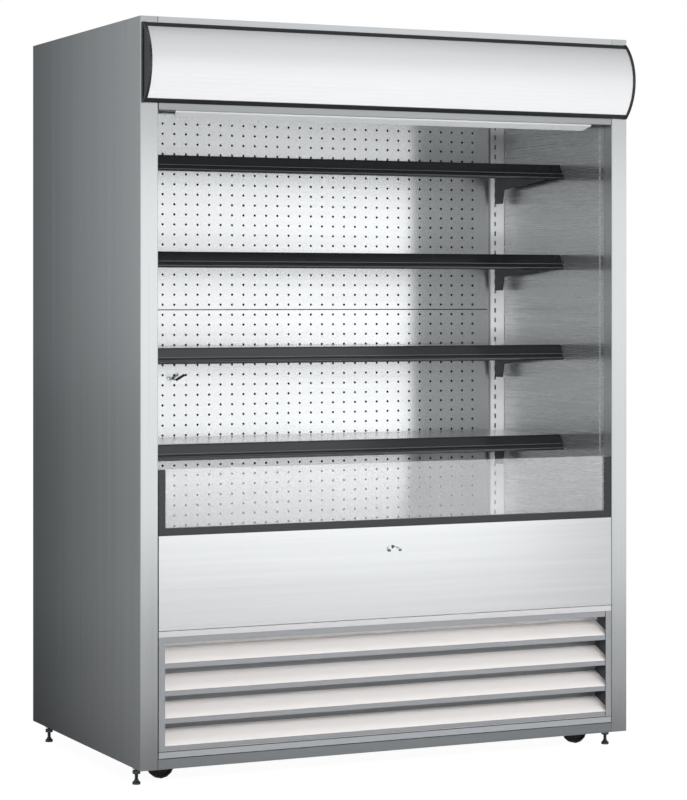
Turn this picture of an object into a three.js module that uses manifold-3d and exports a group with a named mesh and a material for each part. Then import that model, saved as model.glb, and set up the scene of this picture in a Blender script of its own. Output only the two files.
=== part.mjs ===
// Open multideck display fridge: a self-contained upright cooler with an open front, four lift-off
// shelves, a bowed light box over the opening, a glass riser and a louvred machine compartment.
//
// Units are millimetres and +Z is up. The pieces are laid out from the cabinet's front left bottom
// corner: X runs to the right, Y runs back from the front of the posts, Z runs up from the underside
// of the cabinet. The exported group is shifted so that its origin is on the floor, midway between
// the sides and midway between the front of the light box and the rear wall.

import * as THREE from 'three';
import { mergeVertices } from 'three/addons/utils/BufferGeometryUtils.js';
import Module from 'manifold-3d';

const wasm = await Module();
wasm.setup();

// ---- Driving dimensions ----------------------------------------------------------------------

// Cabinet
const cabinetWidth = 1500;
const cabinetDepth = 900;
const wall = 50; // foamed side walls, rear wall and roof
const skin = 0.8; // steel skin of a foamed wall
const sheet = 1.5; // folded stainless sheet
const baseSheet = 2; // folded sheet of the base
const seam = 0.3; // clearance between pieces fitted together
const openLine = 2; // open line round a front panel
const postReturn = 44; // how far the front post wraps on to the inner face of a side wall
const postLineWidth = 2;
const postLineDepth = 0.4;
const cornerEase = 1.5; // eased vertical corners of the posts

// Front, from the floor up
const floorGap = 50; // floor to the underside of the cabinet
const kickHeight = 27;
const grilleHeight = 337;
const lowerPanelHeight = 252;
const riserTrimHeight = 176;
const glassOverTrim = 2;

// Cabin
const interiorDepth = 640; // post fronts to the perforated rear panels
const deckDrop = 50; // deck below the top of the lower panel
const firstShelfRise = 275; // deck to the lowest shelf
const slotPitch = 29.8;
const slotsPerShelf = 9;
const shelfCount = 4;
const topBay = 104; // top shelf to the header rail
const ceilingRise = 47; // underside of the ceiling duct above the header rail
const lowerRearPanelRise = 649; // deck to the seam between the two rear panels
const rearPanelInset = 57; // rear panel to side wall
const rearPanelFlange = 20;

// Header and light box
const railHeight = 17;
const lightBoxHeight = 213;
const topStrip = 17;
const lightBoxInset = 5;
const lightBoxCorner = 7; // how far the light box's edges stand in front of the posts
const lightBoxBow = 50; // rise of the bow from its edges
const lightTrimHeight = 10;
const lightTrimWall = 2;
const diffuserWall = 2.5;
const capWidth = 7;
const capProud = 1.5;
const capRecess = 1.5;
const capRim = 8;
const tubeRadius = 13;

// Header underside
const headerShelf = 62; // depth of the flange over the opening
const headerUpturn = 12;
const lampInset = 58;
const lampFront = 20;
const lampDepth = 32;
const lampDrop = 12;
const lampBack = 6;
const lampMitre = 0.3; // how much shorter the lamp gets towards its back, per millimetre
const outletWidth = 72;
const outletHeight = 18;
const outletCells = 24;
const outletWeb = 5;
const ceilingLip = 14;

// Uprights, brackets, shelves
const uprightInset = 20; // slotted face to the side wall
const uprightWidth = 32;
const uprightStep = 6; // the wing that closes the corner lies behind the slotted face
const uprightGap = 1; // wing to the side wall
const uprightDepth = 28;
const uprightProud = 4;
const uprightSheet = 2;
const slotWidth = 5;
const slotHeight = 14;
const slotDrop = 17; // slot centre below a shelf's top
const shelfInset = 4;
const shelfDepth = 339;
const shelfBackGap = 4; // shelf to the front of the uprights
const shelfFlange = 25;
const shelfRib = 14;
const stripHeight = 46;
const stripLean = 24; // how far the strip's foot stands in front of its top
const stripWall = 2;
const stripLip = 2;
const bracketThickness = 3;
const bracketNose = 12;
const bracketArmFront = 41;
const bracketArm = 63;
const bracketTail = 104;
const bracketTailWidth = 58;
const bracketTailFoot = 48;
const hookDepth = 5;
const hookFall = 8;

// Deck and return air
const deckFlange = 25;
const deckBackGap = 6;
const returnWidth = 61;
const returnSlots = 20;
const returnSlotWidth = 50;
const ledgeWidth = 14;
const ledgeHeight = 5;
const ledgeSetback = 6;

// Insulated tub under the deck
const tubSetback = 14; // behind the front of the lower panel
const tubFrontWall = 36;
const tubFloor = 42;
const tubRise = 4; // above the top of the grille

// Glass riser
const riserTrimWidth = 20;
const riserTrimSetback = 2;
const riserTrimDepth = 14;
const glassThickness = 6;
const glassBite = 12; // depth of the glass in its trim
const panelFlange = 50;

// Vents of the rear skirt
const ventRows = 5;
const ventColumns = 4;
const ventLength = 190;
const ventHeight = 8;

// Louvre grille
const grilleBorderTop = 16;
const grilleBorderSide = 18;
const grilleBorderBottom = 20;
const grilleDepth = 88;
const louvreCount = 4;
const louvreLip = 14;
const louvreRun = 83;
const louvreRise = 33;
const louvreUpturn = 14; // upturned rear edge, which hides the machinery from above
const louvreBottomGap = 12; // lower border to the lowest lip
const louvreSetback = 3;
const restPadWidth = 40;
const restPadDepth = 14;

// Base, casters and feet
const kickDepth = 30;
const baseRise = 30; // base plate above the kick strip
const casterPlate = 4;
const casterPlateSize = 90;
const casterInset = 81; // swivel axis to the side wall
const casterSetback = 122; // swivel axis to the front and to the rear
const casterTrail = 28;
const wheelRadius = 37.5;
const wheelWidth = 26;
const wheelClearance = 4; // wheel above the floor when the feet carry the cabinet
const axleRadius = 4;
const forkSheet = 2.5;
const forkSideGap = 1.5;
const kingPinRadius = 6;
const runningGap = 0.4;
const footInset = 21;
const footSetback = 86;
const studRadius = 6;
const studAbove = 28;
const footHeadRadius = 11;
const footHeadHeight = 7;
const collarRadius = 11;
const collarHeight = 8;
const footPlateHeight = 4;
const footPlateUnder = 3; // plate above the underside of the side wall

// Refrigeration
const finThickness = 5;
const condenserFinPitch = 41;
const evaporatorFinPitch = 58;
const coilCore = 14;
const coilPlate = 2;
const condenserWidth = 500;
const condenserInset = 90;
const condenserDepth = 60;
const condenserHeight = 270;
const condenserBehindGrille = 24;
const condenserFanRadius = 112;
const evaporatorWidth = 1160;
const evaporatorDepth = 150;
const evaporatorHeight = 112;
const evaporatorSetback = 310; // front of the coil ahead of the rear panels
const evaporatorFanRadius = 44;
const compressorX = 1050;
const compressorY = 470;
const compressorRadius = 90;
const compressorHeight = 194;
const compressorPlate = 3;
const grommetRadius = 13;
const grommetHeight = 17;
const suctionRadius = 5;
const dischargeRadius = 4;
const fanMotorLength = 40;

// Small fittings
const catchDrop = 62; // below the top of the lower panel
const catchWidth = 46;
const catchHeight = 16;
const catchScrewSpread = 16.5;
const probeFromLeft = 292; // from the side wall
const probeRise = 449; // above the deck

// ---- Levels and planes that follow from them -------------------------------------------------

const left = wall;
const right = cabinetWidth - wall;
const centre = cabinetWidth / 2;
const rearInner = cabinetDepth - wall;

const grilleBottom = kickHeight + openLine;
const grilleTop = grilleBottom + grilleHeight;
const panelBottom = grilleTop + openLine;
const panelTop = panelBottom + lowerPanelHeight;
const deckTop = panelTop - deckDrop;
const shelfPitch = slotPitch * slotsPerShelf;
const firstShelfTop = deckTop + firstShelfRise;
const headerBottom = firstShelfTop + (shelfCount - 1) * shelfPitch + topBay;
const lightBoxBottom = headerBottom + railHeight;
const lightBoxTop = lightBoxBottom + lightBoxHeight;
const cabinetHeight = lightBoxTop + topStrip;
const roofUnder = cabinetHeight - wall;
const ceilingUnder = headerBottom + ceilingRise;
const rearSeam = deckTop + lowerRearPanelRise;
const baseTop = kickHeight + baseRise;
const tubUnder = grilleTop + tubRise;
const tubInside = tubUnder + tubFloor;
const tubTop = panelTop - sheet - seam;
const tubInnerFront = tubSetback + tubFrontWall;

const uprightFront = interiorDepth - uprightProud;
const shelfBack = uprightFront - shelfBackGap;
const shelfFront = shelfBack - shelfDepth;
const shelfTops = Array.from({ length: shelfCount }, (_, i) => (
  firstShelfTop + (shelfCount - 1 - i) * shelfPitch
));

// ---- Shapes ----------------------------------------------------------------------------------

// Closed outline, with any holes, from lists of [a, b] points.
function outline(points, holes = []) {
  const vectors = (list) => list.map(([a, b]) => new THREE.Vector2(a, b));
  const shape = new THREE.Shape(vectors(points));
  shape.holes = holes.map((hole) => new THREE.Path(vectors(hole)));
  return shape;
}

function rectangle(a0, a1, b0, b1) {
  return [[a0, b0], [a1, b0], [a1, b1], [a0, b1]];
}

// Points on an arc about (a, b), in radians from the first axis.
function arc(a, b, radius, from, to, steps) {
  return Array.from({ length: steps + 1 }, (_, i) => {
    const angle = from + ((to - from) * i) / steps;
    return [a + radius * Math.cos(angle), b + radius * Math.sin(angle)];
  });
}

// Section of a folded sheet: a path and its mitred offset. A positive thickness lies to the left of
// the path as it is followed, a negative one to the right.
function folded(path, thickness) {
  const normals = path.slice(1).map(([a, b], i) => {
    const run = [a - path[i][0], b - path[i][1]];
    const length = Math.hypot(...run);
    return [-run[1] / length, run[0] / length];
  });
  const offset = path.map(([a, b], i) => {
    const before = normals[Math.max(i - 1, 0)];
    const after = normals[Math.min(i, normals.length - 1)];
    const mitre = thickness / (1 + before[0] * after[0] + before[1] * after[1]);
    return [a + (before[0] + after[0]) * mitre, b + (before[1] + after[1]) * mitre];
  });
  return outline([...path, ...offset.reverse()]);
}

const axisX = new THREE.Vector3(1, 0, 0);
const axisY = new THREE.Vector3(0, 1, 0);
const axisZ = new THREE.Vector3(0, 0, 1);

function extruded(shape, length) {
  return new THREE.ExtrudeGeometry(shape, { depth: length, bevelEnabled: false, steps: 1 });
}

// A (Y, Z) section drawn out along X.
function alongX(shape, x0, x1) {
  const turn = new THREE.Matrix4().makeBasis(axisY, axisZ, axisX);
  return extruded(shape, x1 - x0).applyMatrix4(turn).translate(x0, 0, 0);
}

// An (X, Z) elevation drawn out along Y.
function alongY(shape, y0, y1) {
  const turn = new THREE.Matrix4().makeBasis(axisX, axisZ, axisY.clone().negate());
  return extruded(shape, y1 - y0).applyMatrix4(turn).translate(0, y1, 0);
}

// An (X, Y) plan drawn out along Z.
function alongZ(shape, z0, z1) {
  return extruded(shape, z1 - z0).translate(0, 0, z0);
}

function block(x0, x1, y0, y1, z0, z1) {
  const box = new THREE.BoxGeometry(Math.abs(x1 - x0), Math.abs(y1 - y0), Math.abs(z1 - z0));
  return box.translate((x0 + x1) / 2, (y0 + y1) / 2, (z0 + z1) / 2);
}

function rodX(y, z, radius, x0, x1, sides = 20) {
  const rod = new THREE.CylinderGeometry(radius, radius, x1 - x0, sides).rotateZ(Math.PI / 2);
  return rod.translate((x0 + x1) / 2, y, z);
}

function rodY(x, z, radius, y0, y1, sides = 20) {
  const rod = new THREE.CylinderGeometry(radius, radius, y1 - y0, sides);
  return rod.translate(x, (y0 + y1) / 2, z);
}

function rodZ(x, y, radius, z0, z1, sides = 20) {
  const rod = new THREE.CylinderGeometry(radius, radius, z1 - z0, sides).rotateX(Math.PI / 2);
  return rod.translate(x, y, (z0 + z1) / 2);
}

// A round section swept along a curve, with closed ends.
function cable(points, radius, steps, sides) {
  const curve = new THREE.CatmullRomCurve3(points.map((p) => new THREE.Vector3(...p)));
  const ring = outline(arc(0, 0, radius, 0, 2 * Math.PI * (1 - 1 / sides), sides - 1));
  return new THREE.ExtrudeGeometry(ring, { steps, extrudePath: curve, bevelEnabled: false });
}

// A closed surface through rings of equally many points, capped at both ends. Each four-sided patch
// is split on its shorter diagonal, so that both faces of a thin blade bend the same way.
function loft(rings) {
  const count = rings[0].length;
  const points = rings.flat();
  const gap = (p, q) => Math.hypot(...points[p].map((value, i) => value - points[q][i]));
  const geometry = new THREE.BufferGeometry();
  geometry.setAttribute('position', new THREE.Float32BufferAttribute(rings.flat(2), 3));
  const faces = [];
  for (let r = 0; r + 1 < rings.length; r += 1) {
    for (let i = 0; i < count; i += 1) {
      const a = r * count + i;
      const b = r * count + ((i + 1) % count);
      if (gap(a, b + count) < gap(b, a + count)) {
        faces.push(a, b, b + count, a, b + count, a + count);
      } else {
        faces.push(a, b, a + count, b, b + count, a + count);
      }
    }
  }
  const last = (rings.length - 1) * count;
  for (let i = 1; i + 1 < count; i += 1) {
    faces.push(0, i + 1, i, last, last + i, last + i + 1);
  }
  geometry.setIndex(faces);
  return geometry;
}

// ---- Solids ----------------------------------------------------------------------------------

// Vertices are snapped to this grid before a cut, so that faces drawn on one plane stay on it.
const grid = 1 / 512;

function solid(geometry) {
  const bare = geometry.clone();
  bare.deleteAttribute('normal');
  bare.deleteAttribute('uv');
  const merged = mergeVertices(bare, 1e-4);
  return new wasm.Manifold(new wasm.Mesh({
    numProp: 3,
    vertProperties: merged.getAttribute('position').array.map((v) => Math.round(v / grid) * grid),
    triVerts: new Uint32Array(merged.getIndex().array),
  }));
}

function union(geometries) {
  return geometries.map(solid).reduce((whole, piece) => whole.add(piece));
}

function lessAll(whole, geometries) {
  return geometries.map(solid).reduce((rest, cut) => rest.subtract(cut), whole);
}

function surfaceOf(manifold) {
  const mesh = manifold.getMesh();
  const geometry = new THREE.BufferGeometry();
  geometry.setAttribute('position', new THREE.BufferAttribute(mesh.vertProperties, 3));
  geometry.setIndex(new THREE.BufferAttribute(mesh.triVerts, 1));
  geometry.computeVertexNormals();
  return geometry;
}

// The geometries in the first list as one body, less those in the second.
function carved(geometries, cuts = []) {
  return surfaceOf(lessAll(union(geometries), cuts));
}

// ---- Finishes --------------------------------------------------------------------------------

function finish(color, roughness, metalness) {
  return new THREE.MeshStandardMaterial({ color, roughness, metalness });
}

const brushedStainless = finish('#b4b8ba', 0.35, 1);
const linerStainless = finish('#a9adaf', 0.25, 1);
const galvanisedSteel = finish('#9a9fa2', 0.5, 0.9);
const paintedLouvre = finish('#d9d7d6', 0.45, 0.2);
const blackTrim = finish('#1d2022', 0.35, 0);
const greyBracket = finish('#3a3d3e', 0.5, 0.3);
const whiteDiffuser = finish('#f1f2f3', 0.4, 0);
const clearGlass = finish('#dfe6e6', 0.05, 0);
const coilAluminium = finish('#c3c6c8', 0.4, 0.9);
const blackEnamel = finish('#202224', 0.45, 0.2);
const blackRubber = finish('#161718', 0.8, 0);
const zincSteel = finish('#8e9294', 0.35, 1);
const shelfWhite = finish('#d5d7d8', 0.4, 0.3);

// ---- Cabinet ---------------------------------------------------------------------------------

// Distance from the outer face of the named side, as an X.
function fromSide(side, inset) {
  return side === 'left' ? inset : cabinetWidth - inset;
}

const footRows = [footSetback, cabinetDepth - footSetback];
const deckFront = tubInnerFront + returnWidth + seam;
const deckBack = interiorDepth - deckBackGap;

// Foamed side wall with its stainless front post, the ledge that carries the deck, and the two
// threaded collars for the levelling feet. Its skin box is open underneath.
function sidePanel(side) {
  const x = (inset) => fromSide(side, inset);
  const plan = outline([
    [x(0), cornerEase],
    [x(cornerEase), 0],
    [x(wall - cornerEase), 0],
    [x(wall), cornerEase],
    [x(wall), postReturn - postLineWidth],
    [x(wall - postLineDepth), postReturn - postLineWidth / 2],
    [x(wall), postReturn],
    [x(wall), cabinetDepth],
    [x(0), cabinetDepth],
  ]);
  const ledgeTop = deckTop - sheet - seam;
  const ledge = block(
    x(wall - skin / 2), x(wall + ledgeWidth),
    deckFront + ledgeSetback, deckBack - ledgeSetback,
    ledgeTop - ledgeHeight, ledgeTop,
  );
  const core = block(
    x(skin), x(wall - skin), skin + cornerEase, cabinetDepth - skin, -1, cabinetHeight - skin,
  );
  const plateTop = footPlateUnder + footPlateHeight;
  const plates = footRows.map((y) => block(
    x(skin / 2), x(wall - skin / 2), y - 2 * collarRadius, y + 2 * collarRadius,
    footPlateUnder, plateTop,
  ));
  const collars = footRows.map((y) => rodZ(
    x(footInset), y, collarRadius, -collarHeight, footPlateUnder + 1, 6,
  ));
  const bores = footRows.map((y) => rodZ(
    x(footInset), y, studRadius + runningGap, -collarHeight - 1, plateTop + 1, 12,
  ));
  const shell = lessAll(solid(alongZ(plan, 0, cabinetHeight)), [core]);
  return surfaceOf(lessAll(shell.add(union([...plates, ...collars, ledge])), bores));
}

// Foamed roof, whose front lip reaches over the light box. Its ends are closed by the side walls.
function roofPanel() {
  const lipUnder = lightBoxTop;
  const outer = [
    [0, lipUnder], [headerShelf, lipUnder], [headerShelf, roofUnder],
    [cabinetDepth, roofUnder], [cabinetDepth, cabinetHeight], [0, cabinetHeight],
  ];
  const foam = [
    [skin, lipUnder + skin], [headerShelf + skin, lipUnder + skin],
    [headerShelf + skin, roofUnder + skin], [cabinetDepth - skin, roofUnder + skin],
    [cabinetDepth - skin, cabinetHeight - skin], [skin, cabinetHeight - skin],
  ];
  return alongX(outline(outer, [foam]), left + seam, right - seam);
}

// Foamed rear wall over a vented skirt that closes the machine compartment.
function rearWall() {
  const bottom = baseTop + seam;
  const top = roofUnder - seam;
  const skirt = cabinetDepth - baseSheet;
  const outer = [
    [cabinetDepth, bottom], [cabinetDepth, top], [rearInner, top],
    [rearInner, tubUnder], [skirt, tubUnder], [skirt, bottom],
  ];
  const foam = rectangle(rearInner + skin, cabinetDepth - skin, tubUnder + skin, top - skin);
  const wallBody = alongX(outline(outer, [foam]), left + seam, right - seam);
  const ventStep = (tubUnder - bottom) / (ventRows + 2);
  const vents = [];
  for (let row = 1; row <= ventRows; row += 1) {
    const z = bottom + (row + 0.5) * ventStep;
    for (let column = 0; column < ventColumns; column += 1) {
      const middle = left + ((column + 0.5) * (right - left)) / ventColumns;
      vents.push(block(
        middle - ventLength / 2, middle + ventLength / 2, skirt - 1, cabinetDepth + 1,
        z - ventHeight / 2, z + ventHeight / 2,
      ));
    }
  }
  return carved([wallBody], vents);
}

const casterSpots = [
  { name: 'front_left', side: 'left', y: casterSetback },
  { name: 'front_right', side: 'right', y: casterSetback },
  { name: 'rear_left', side: 'left', y: cabinetDepth - casterSetback },
  { name: 'rear_right', side: 'right', y: cabinetDepth - casterSetback },
];
const casterPlateUnder = baseTop - baseSheet - casterPlate;

// Folded base: kick strip at the front, plate over the casters, rear and side flanges.
function baseFrame() {
  const path = [
    [0, 0], [0, kickHeight], [kickDepth, kickHeight], [kickDepth, baseTop],
    [cabinetDepth, baseTop], [cabinetDepth, 0],
  ];
  const x0 = left + seam;
  const x1 = right - seam;
  const pieces = [alongX(folded(path, -baseSheet), x0, x1)];
  for (const x of [x0, x1 - baseSheet]) {
    pieces.push(block(
      x, x + baseSheet, kickDepth + baseSheet / 2, cabinetDepth - baseSheet / 2,
      openLine, baseTop - baseSheet / 2,
    ));
  }
  for (const spot of casterSpots) {
    const x = fromSide(spot.side, wall + casterInset);
    const half = casterPlateSize / 2;
    pieces.push(block(
      x - half, x + half, spot.y - half, spot.y + half, casterPlateUnder, baseTop - baseSheet / 2,
    ));
  }
  const bores = casterSpots.map((spot) => rodZ(
    fromSide(spot.side, wall + casterInset), spot.y, kingPinRadius + runningGap,
    casterPlateUnder - 1, baseTop - baseSheet, 16,
  ));
  return carved(pieces, bores);
}

// Insulated tub under the deck: the floor of the cabin and the wall behind the lower panel.
function cavityFloor() {
  const back = rearInner - seam;
  const outer = [
    [tubSetback, tubUnder], [back, tubUnder], [back, tubInside],
    [tubInnerFront, tubInside], [tubInnerFront, tubTop], [tubSetback, tubTop],
  ];
  const foam = [
    [tubSetback + skin, tubUnder + skin], [back - skin, tubUnder + skin],
    [back - skin, tubInside - skin], [tubInnerFront - skin, tubInside - skin],
    [tubInnerFront - skin, tubTop - skin], [tubSetback + skin, tubTop - skin],
  ];
  return alongX(outline(outer, [foam]), left + seam, right - seam);
}

// ---- Header and light box --------------------------------------------------------------------

const frontLeft = left + openLine;
const frontRight = right - openLine;

function headerPanel() {
  const path = [
    [0, lightBoxTop - seam], [0, headerBottom], [headerShelf, headerBottom],
    [headerShelf, headerBottom + headerUpturn],
  ];
  return alongX(folded(path, sheet), frontLeft, frontRight);
}

// The bow of the light box is one arc about this axis.
const bowHalf = lightBoxHeight / 2;
const bowMiddle = lightBoxBottom + bowHalf;
const bowRadius = (bowHalf ** 2 + lightBoxBow ** 2) / (2 * lightBoxBow);
const bowAxis = bowRadius - lightBoxBow - lightBoxCorner;

// Points of the bow at a given radius, from one height above its middle to another.
function bow(radius, fromHeight, toHeight, steps) {
  const from = Math.PI - Math.asin(fromHeight / radius);
  const to = Math.PI - Math.asin(toHeight / radius);
  return arc(bowAxis, bowMiddle, radius, from, to, steps);
}

const lightBoxLeft = lightBoxInset + capWidth + seam;
const lightBoxRight = cabinetWidth - lightBoxLeft;

function lightBoxBody() {
  const lip = bowHalf - lightTrimHeight;
  const path = [
    ...bow(bowRadius, lip, bowHalf, 3),
    [-seam, lightBoxTop],
    [-seam, lightBoxBottom],
    ...bow(bowRadius, -bowHalf, -lip, 3),
  ];
  return alongX(folded(path, -lightTrimWall), lightBoxLeft, lightBoxRight);
}

function lightBoxDiffuser() {
  const radius = bowRadius - lightTrimWall - seam;
  const reach = bowHalf - lightTrimWall - 2 * seam - diffuserWall;
  const path = bow(radius, -reach, reach, 18);
  return alongX(folded(path, -diffuserWall), lightBoxLeft, lightBoxRight);
}

function lightBoxCap(side) {
  const x = (inset) => fromSide(side, inset);
  const section = (radius, reach, backPlane) => outline([
    [backPlane, bowMiddle - reach],
    ...bow(radius, -reach, reach, 18),
    [backPlane, bowMiddle + reach],
  ]);
  const span = (inner, outer) => [x(inner), x(outer)].sort((a, b) => a - b);
  const rim = section(bowRadius + capProud, bowHalf + capProud / 2, -seam);
  const recess = section(bowRadius - capRim, bowHalf - 1.5 * capRim, -seam - capRim / 2);
  return carved(
    [alongX(rim, ...span(lightBoxInset, lightBoxInset + capWidth))],
    [alongX(recess, ...span(lightBoxInset - 1, lightBoxInset + capRecess))],
  );
}

function ledTube() {
  const y = -(lightBoxCorner + lightBoxBow) / 2 + lightTrimWall;
  return rodX(y, bowMiddle, tubeRadius, lightBoxLeft, lightBoxRight, 16);
}

// Strip light under the header: its lens slopes down towards the shelves and its ends are mitred.
function interiorLamp() {
  const top = headerBottom - seam;
  const section = outline([
    [lampFront - 2, top], [lampFront, top - 4], [lampFront + lampDepth, top - 4 - lampDrop],
    [lampFront + lampDepth + lampBack, top - lampDrop], [lampFront + lampDepth + lampBack, top],
  ]);
  const lamp = alongX(section, left + lampInset, right - lampInset);
  const position = lamp.getAttribute('position');
  for (let i = 0; i < position.count; i += 1) {
    const mitre = (position.getY(i) - lampFront) * lampMitre;
    position.setX(i, position.getX(i) + Math.sign(centre - position.getX(i)) * mitre);
  }
  return lamp;
}

const outletFront = headerShelf + seam;
const outletBack = outletFront + outletWidth;
const ceilingFront = outletBack + seam;

// Air outlet: a deep grid of vanes that straightens the air curtain.
function airOutletGrille() {
  const x0 = left + seam;
  const x1 = right - seam;
  const z0 = headerBottom + seam;
  const step = (x1 - x0 - outletWeb) / outletCells;
  const cells = [];
  for (let i = 0; i < outletCells; i += 1) {
    const from = x0 + outletWeb + i * step;
    cells.push(block(
      from, from + step - outletWeb, outletFront + outletWeb, outletBack - outletWeb,
      z0 - 1, z0 + outletHeight + 1,
    ));
  }
  return carved([block(x0, x1, outletFront, outletBack, z0, z0 + outletHeight)], cells);
}

// Ceiling sheet: it carries the back of the air outlet and roofs the cabin under the air duct.
function ductCeiling() {
  const top = ceilingUnder + sheet;
  const path = [
    [ceilingFront - ceilingLip, headerBottom], [ceilingFront, headerBottom],
    [ceilingFront, top], [uprightFront + uprightDepth, top],
  ];
  return alongX(folded(path, -sheet), left + seam, right - seam);
}

// ---- Cabin -----------------------------------------------------------------------------------

// A rear panel is a tray with flanges folded back at its sides.
function rearPanel(z0, z1) {
  const back = interiorDepth + rearPanelFlange;
  const path = [
    [left + rearPanelInset, back], [left + rearPanelInset, interiorDepth],
    [right - rearPanelInset, interiorDepth], [right - rearPanelInset, back],
  ];
  return alongZ(folded(path, sheet), z0, z1);
}

// The lower rear panel stands on two legs, with the cold air's way in between them.
function lowerRearPanel() {
  const leg = 60;
  const windowTop = deckTop - deckFlange - openLine;
  const window = block(
    left + rearPanelInset + leg, right - rearPanelInset - leg,
    interiorDepth - 1, interiorDepth + sheet + 1, tubInside, windowTop,
  );
  return carved([rearPanel(tubInside + seam, rearSeam - seam)], [window]);
}

function slotLine(side) {
  return fromSide(side, wall + uprightInset + uprightWidth / 2);
}

// Slot centres up an upright, set so that every shelf's hooks meet a slot.
function slotLevels() {
  const first = firstShelfTop - slotDrop;
  const levels = [];
  for (let z = first; z > deckTop + slotHeight; z -= slotPitch) {
    levels.push(z);
  }
  for (let z = first + slotPitch; z < ceilingUnder - slotHeight; z += slotPitch) {
    levels.push(z);
  }
  return levels;
}

// Slotted channel with a wing, set back a step, that closes the corner up to the side wall.
function upright(side) {
  const x = slotLine(side);
  const back = uprightFront + uprightDepth;
  const wing = uprightFront + uprightStep;
  const path = [
    [uprightInset + uprightWidth, back], [uprightInset + uprightWidth, uprightFront],
    [uprightInset, uprightFront], [uprightInset, wing], [uprightGap, wing], [uprightGap, back],
  ].map(([inset, y]) => [fromSide(side, wall + inset), y]);
  if (side === 'left') {
    path.reverse();
  }
  const channel = alongZ(folded(path, uprightSheet), tubInside + seam, ceilingUnder - seam);
  const slots = slotLevels().map((z) => block(
    x - slotWidth / 2, x + slotWidth / 2, uprightFront - 1, uprightFront + uprightSheet + 1,
    z - slotHeight / 2, z + slotHeight / 2,
  ));
  return carved([channel], slots);
}

// Cantilever bracket: a tapered arm, a tail that bears on the upright, and two hooks that pass
// through the slots and drop behind them. Built with its shelf's top at Z = 0.
function bracket(side) {
  const back = uprightFront - seam;
  const top = -sheet - seam;
  const behind = uprightFront + uprightSheet + seam;
  const nose = shelfFront + bracketNose;
  const plate = outline([
    [nose, top], [back, top], [back, -bracketTail],
    [back - bracketTailFoot, -bracketTail], [back - bracketTailWidth, -bracketArm],
    [nose + 2 * bracketNose, -bracketArmFront], [nose, -bracketArmFront / 2],
  ]);
  const hook = (slot) => {
    const rest = slot - slotHeight / 2 + seam;
    const roof = slot + slotHeight / 2 - 3;
    return outline([
      [back - 1, rest], [behind, rest], [behind, rest - hookFall],
      [behind + hookDepth, rest - hookFall + 2], [behind + hookDepth, roof - 4],
      [behind + hookDepth - 4, roof], [back - 1, roof],
    ]);
  };
  const x = slotLine(side);
  const x0 = x - bracketThickness / 2;
  const x1 = x + bracketThickness / 2;
  const hooks = [-slotDrop, -slotDrop - 2 * slotPitch].map((slot) => alongX(hook(slot), x0, x1));
  return carved([alongX(plate, x0, x1), ...hooks]);
}

const stripSlope = Math.hypot(stripLean, stripHeight);
const stripDown = [-stripLean / stripSlope, -stripHeight / stripSlope];
const stripOut = [-stripHeight / stripSlope, stripLean / stripSlope];

// A point on the sloping front of a shelf: down the slope from its top edge, and out from it.
function onStrip(down, out) {
  return [
    shelfFront + stripDown[0] * down + stripOut[0] * out,
    stripDown[1] * down + stripOut[1] * out,
  ];
}

// Shelf pan with a sloping front, a notched rear flange, side flanges and two stiffening ribs.
// Built with its top at Z = 0.
function shelf() {
  const x0 = left + shelfInset;
  const x1 = right - shelfInset;
  const path = [
    onStrip(stripSlope - 8, 0), [shelfFront, 0], [shelfBack, 0], [shelfBack, -shelfFlange],
  ];
  const pieces = [alongX(folded(path, -sheet), x0, x1)];
  for (const x of [x0, x1 - sheet]) {
    pieces.push(block(x, x + sheet, shelfFront + 4, shelfBack - sheet / 2, -shelfFlange, -sheet / 2));
  }
  const ribX = uprightInset + uprightWidth + 30;
  for (const y of [shelfFront + shelfDepth / 3, shelfFront + (2 * shelfDepth) / 3]) {
    pieces.push(block(left + ribX, right - ribX, y - 12, y + 12, -shelfRib, -sheet / 2));
  }
  const notches = ['left', 'right'].map((side) => {
    const x = slotLine(side);
    const half = bracketThickness / 2 + openLine;
    return block(x - half, x + half, shelfBack - sheet - 1, shelfBack + 1, -shelfFlange - 1, -sheet);
  });
  return carved(pieces, notches);
}

// Ticket strip: a broad upper channel for labels and a narrow lower one, on the shelf's front.
// Built with its shelf's top at Z = 0.
function ticketStrip() {
  const outer = seam + stripWall + stripLip;
  const inner = seam + stripWall;
  const split = stripSlope * 0.64;
  const foot = stripSlope - 1;
  const section = outline([
    onStrip(0, seam), onStrip(foot, seam), onStrip(foot, outer), onStrip(foot - 2, outer),
    onStrip(foot - 3, inner), onStrip(split + 3, inner), onStrip(split + 2, outer),
    onStrip(split, outer), onStrip(split - 1, inner), onStrip(4, inner), onStrip(3, outer),
    onStrip(1, outer),
  ]);
  return alongX(section, left + shelfInset, right - shelfInset);
}

function deckTray() {
  const path = [
    [deckFront, deckTop - deckFlange], [deckFront, deckTop],
    [deckBack, deckTop], [deckBack, deckTop - deckFlange],
  ];
  const flangeEnd = ledgeWidth + openLine;
  const tray = alongX(folded(path, -sheet), left + 2 * seam, right - 2 * seam);
  const trims = [[left, left + flangeEnd], [right - flangeEnd, right]].map(([x0, x1]) => block(
    x0, x1, deckFront - 1, deckBack + 1, deckTop - deckFlange - 1, deckTop - sheet,
  ));
  return carved([tray], trims);
}

// Slotted return-air strip between the riser and the deck, folded down on the tub's front wall.
function returnAirGrille() {
  const front = tubInnerFront + seam;
  const back = deckFront - seam;
  const path = [[front, deckTop - deckFlange], [front, deckTop], [back, deckTop]];
  const strip = alongX(folded(path, -sheet), left + 2 * seam, right - 2 * seam);
  const step = (right - left) / returnSlots;
  const slots = [];
  for (let i = 0; i < returnSlots; i += 1) {
    const middle = left + (i + 0.5) * step;
    slots.push(block(
      middle - returnSlotWidth / 2, middle + returnSlotWidth / 2, front + 10, back - 8,
      deckTop - sheet - 1, deckTop + 1,
    ));
  }
  return carved([strip], slots);
}

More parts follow.
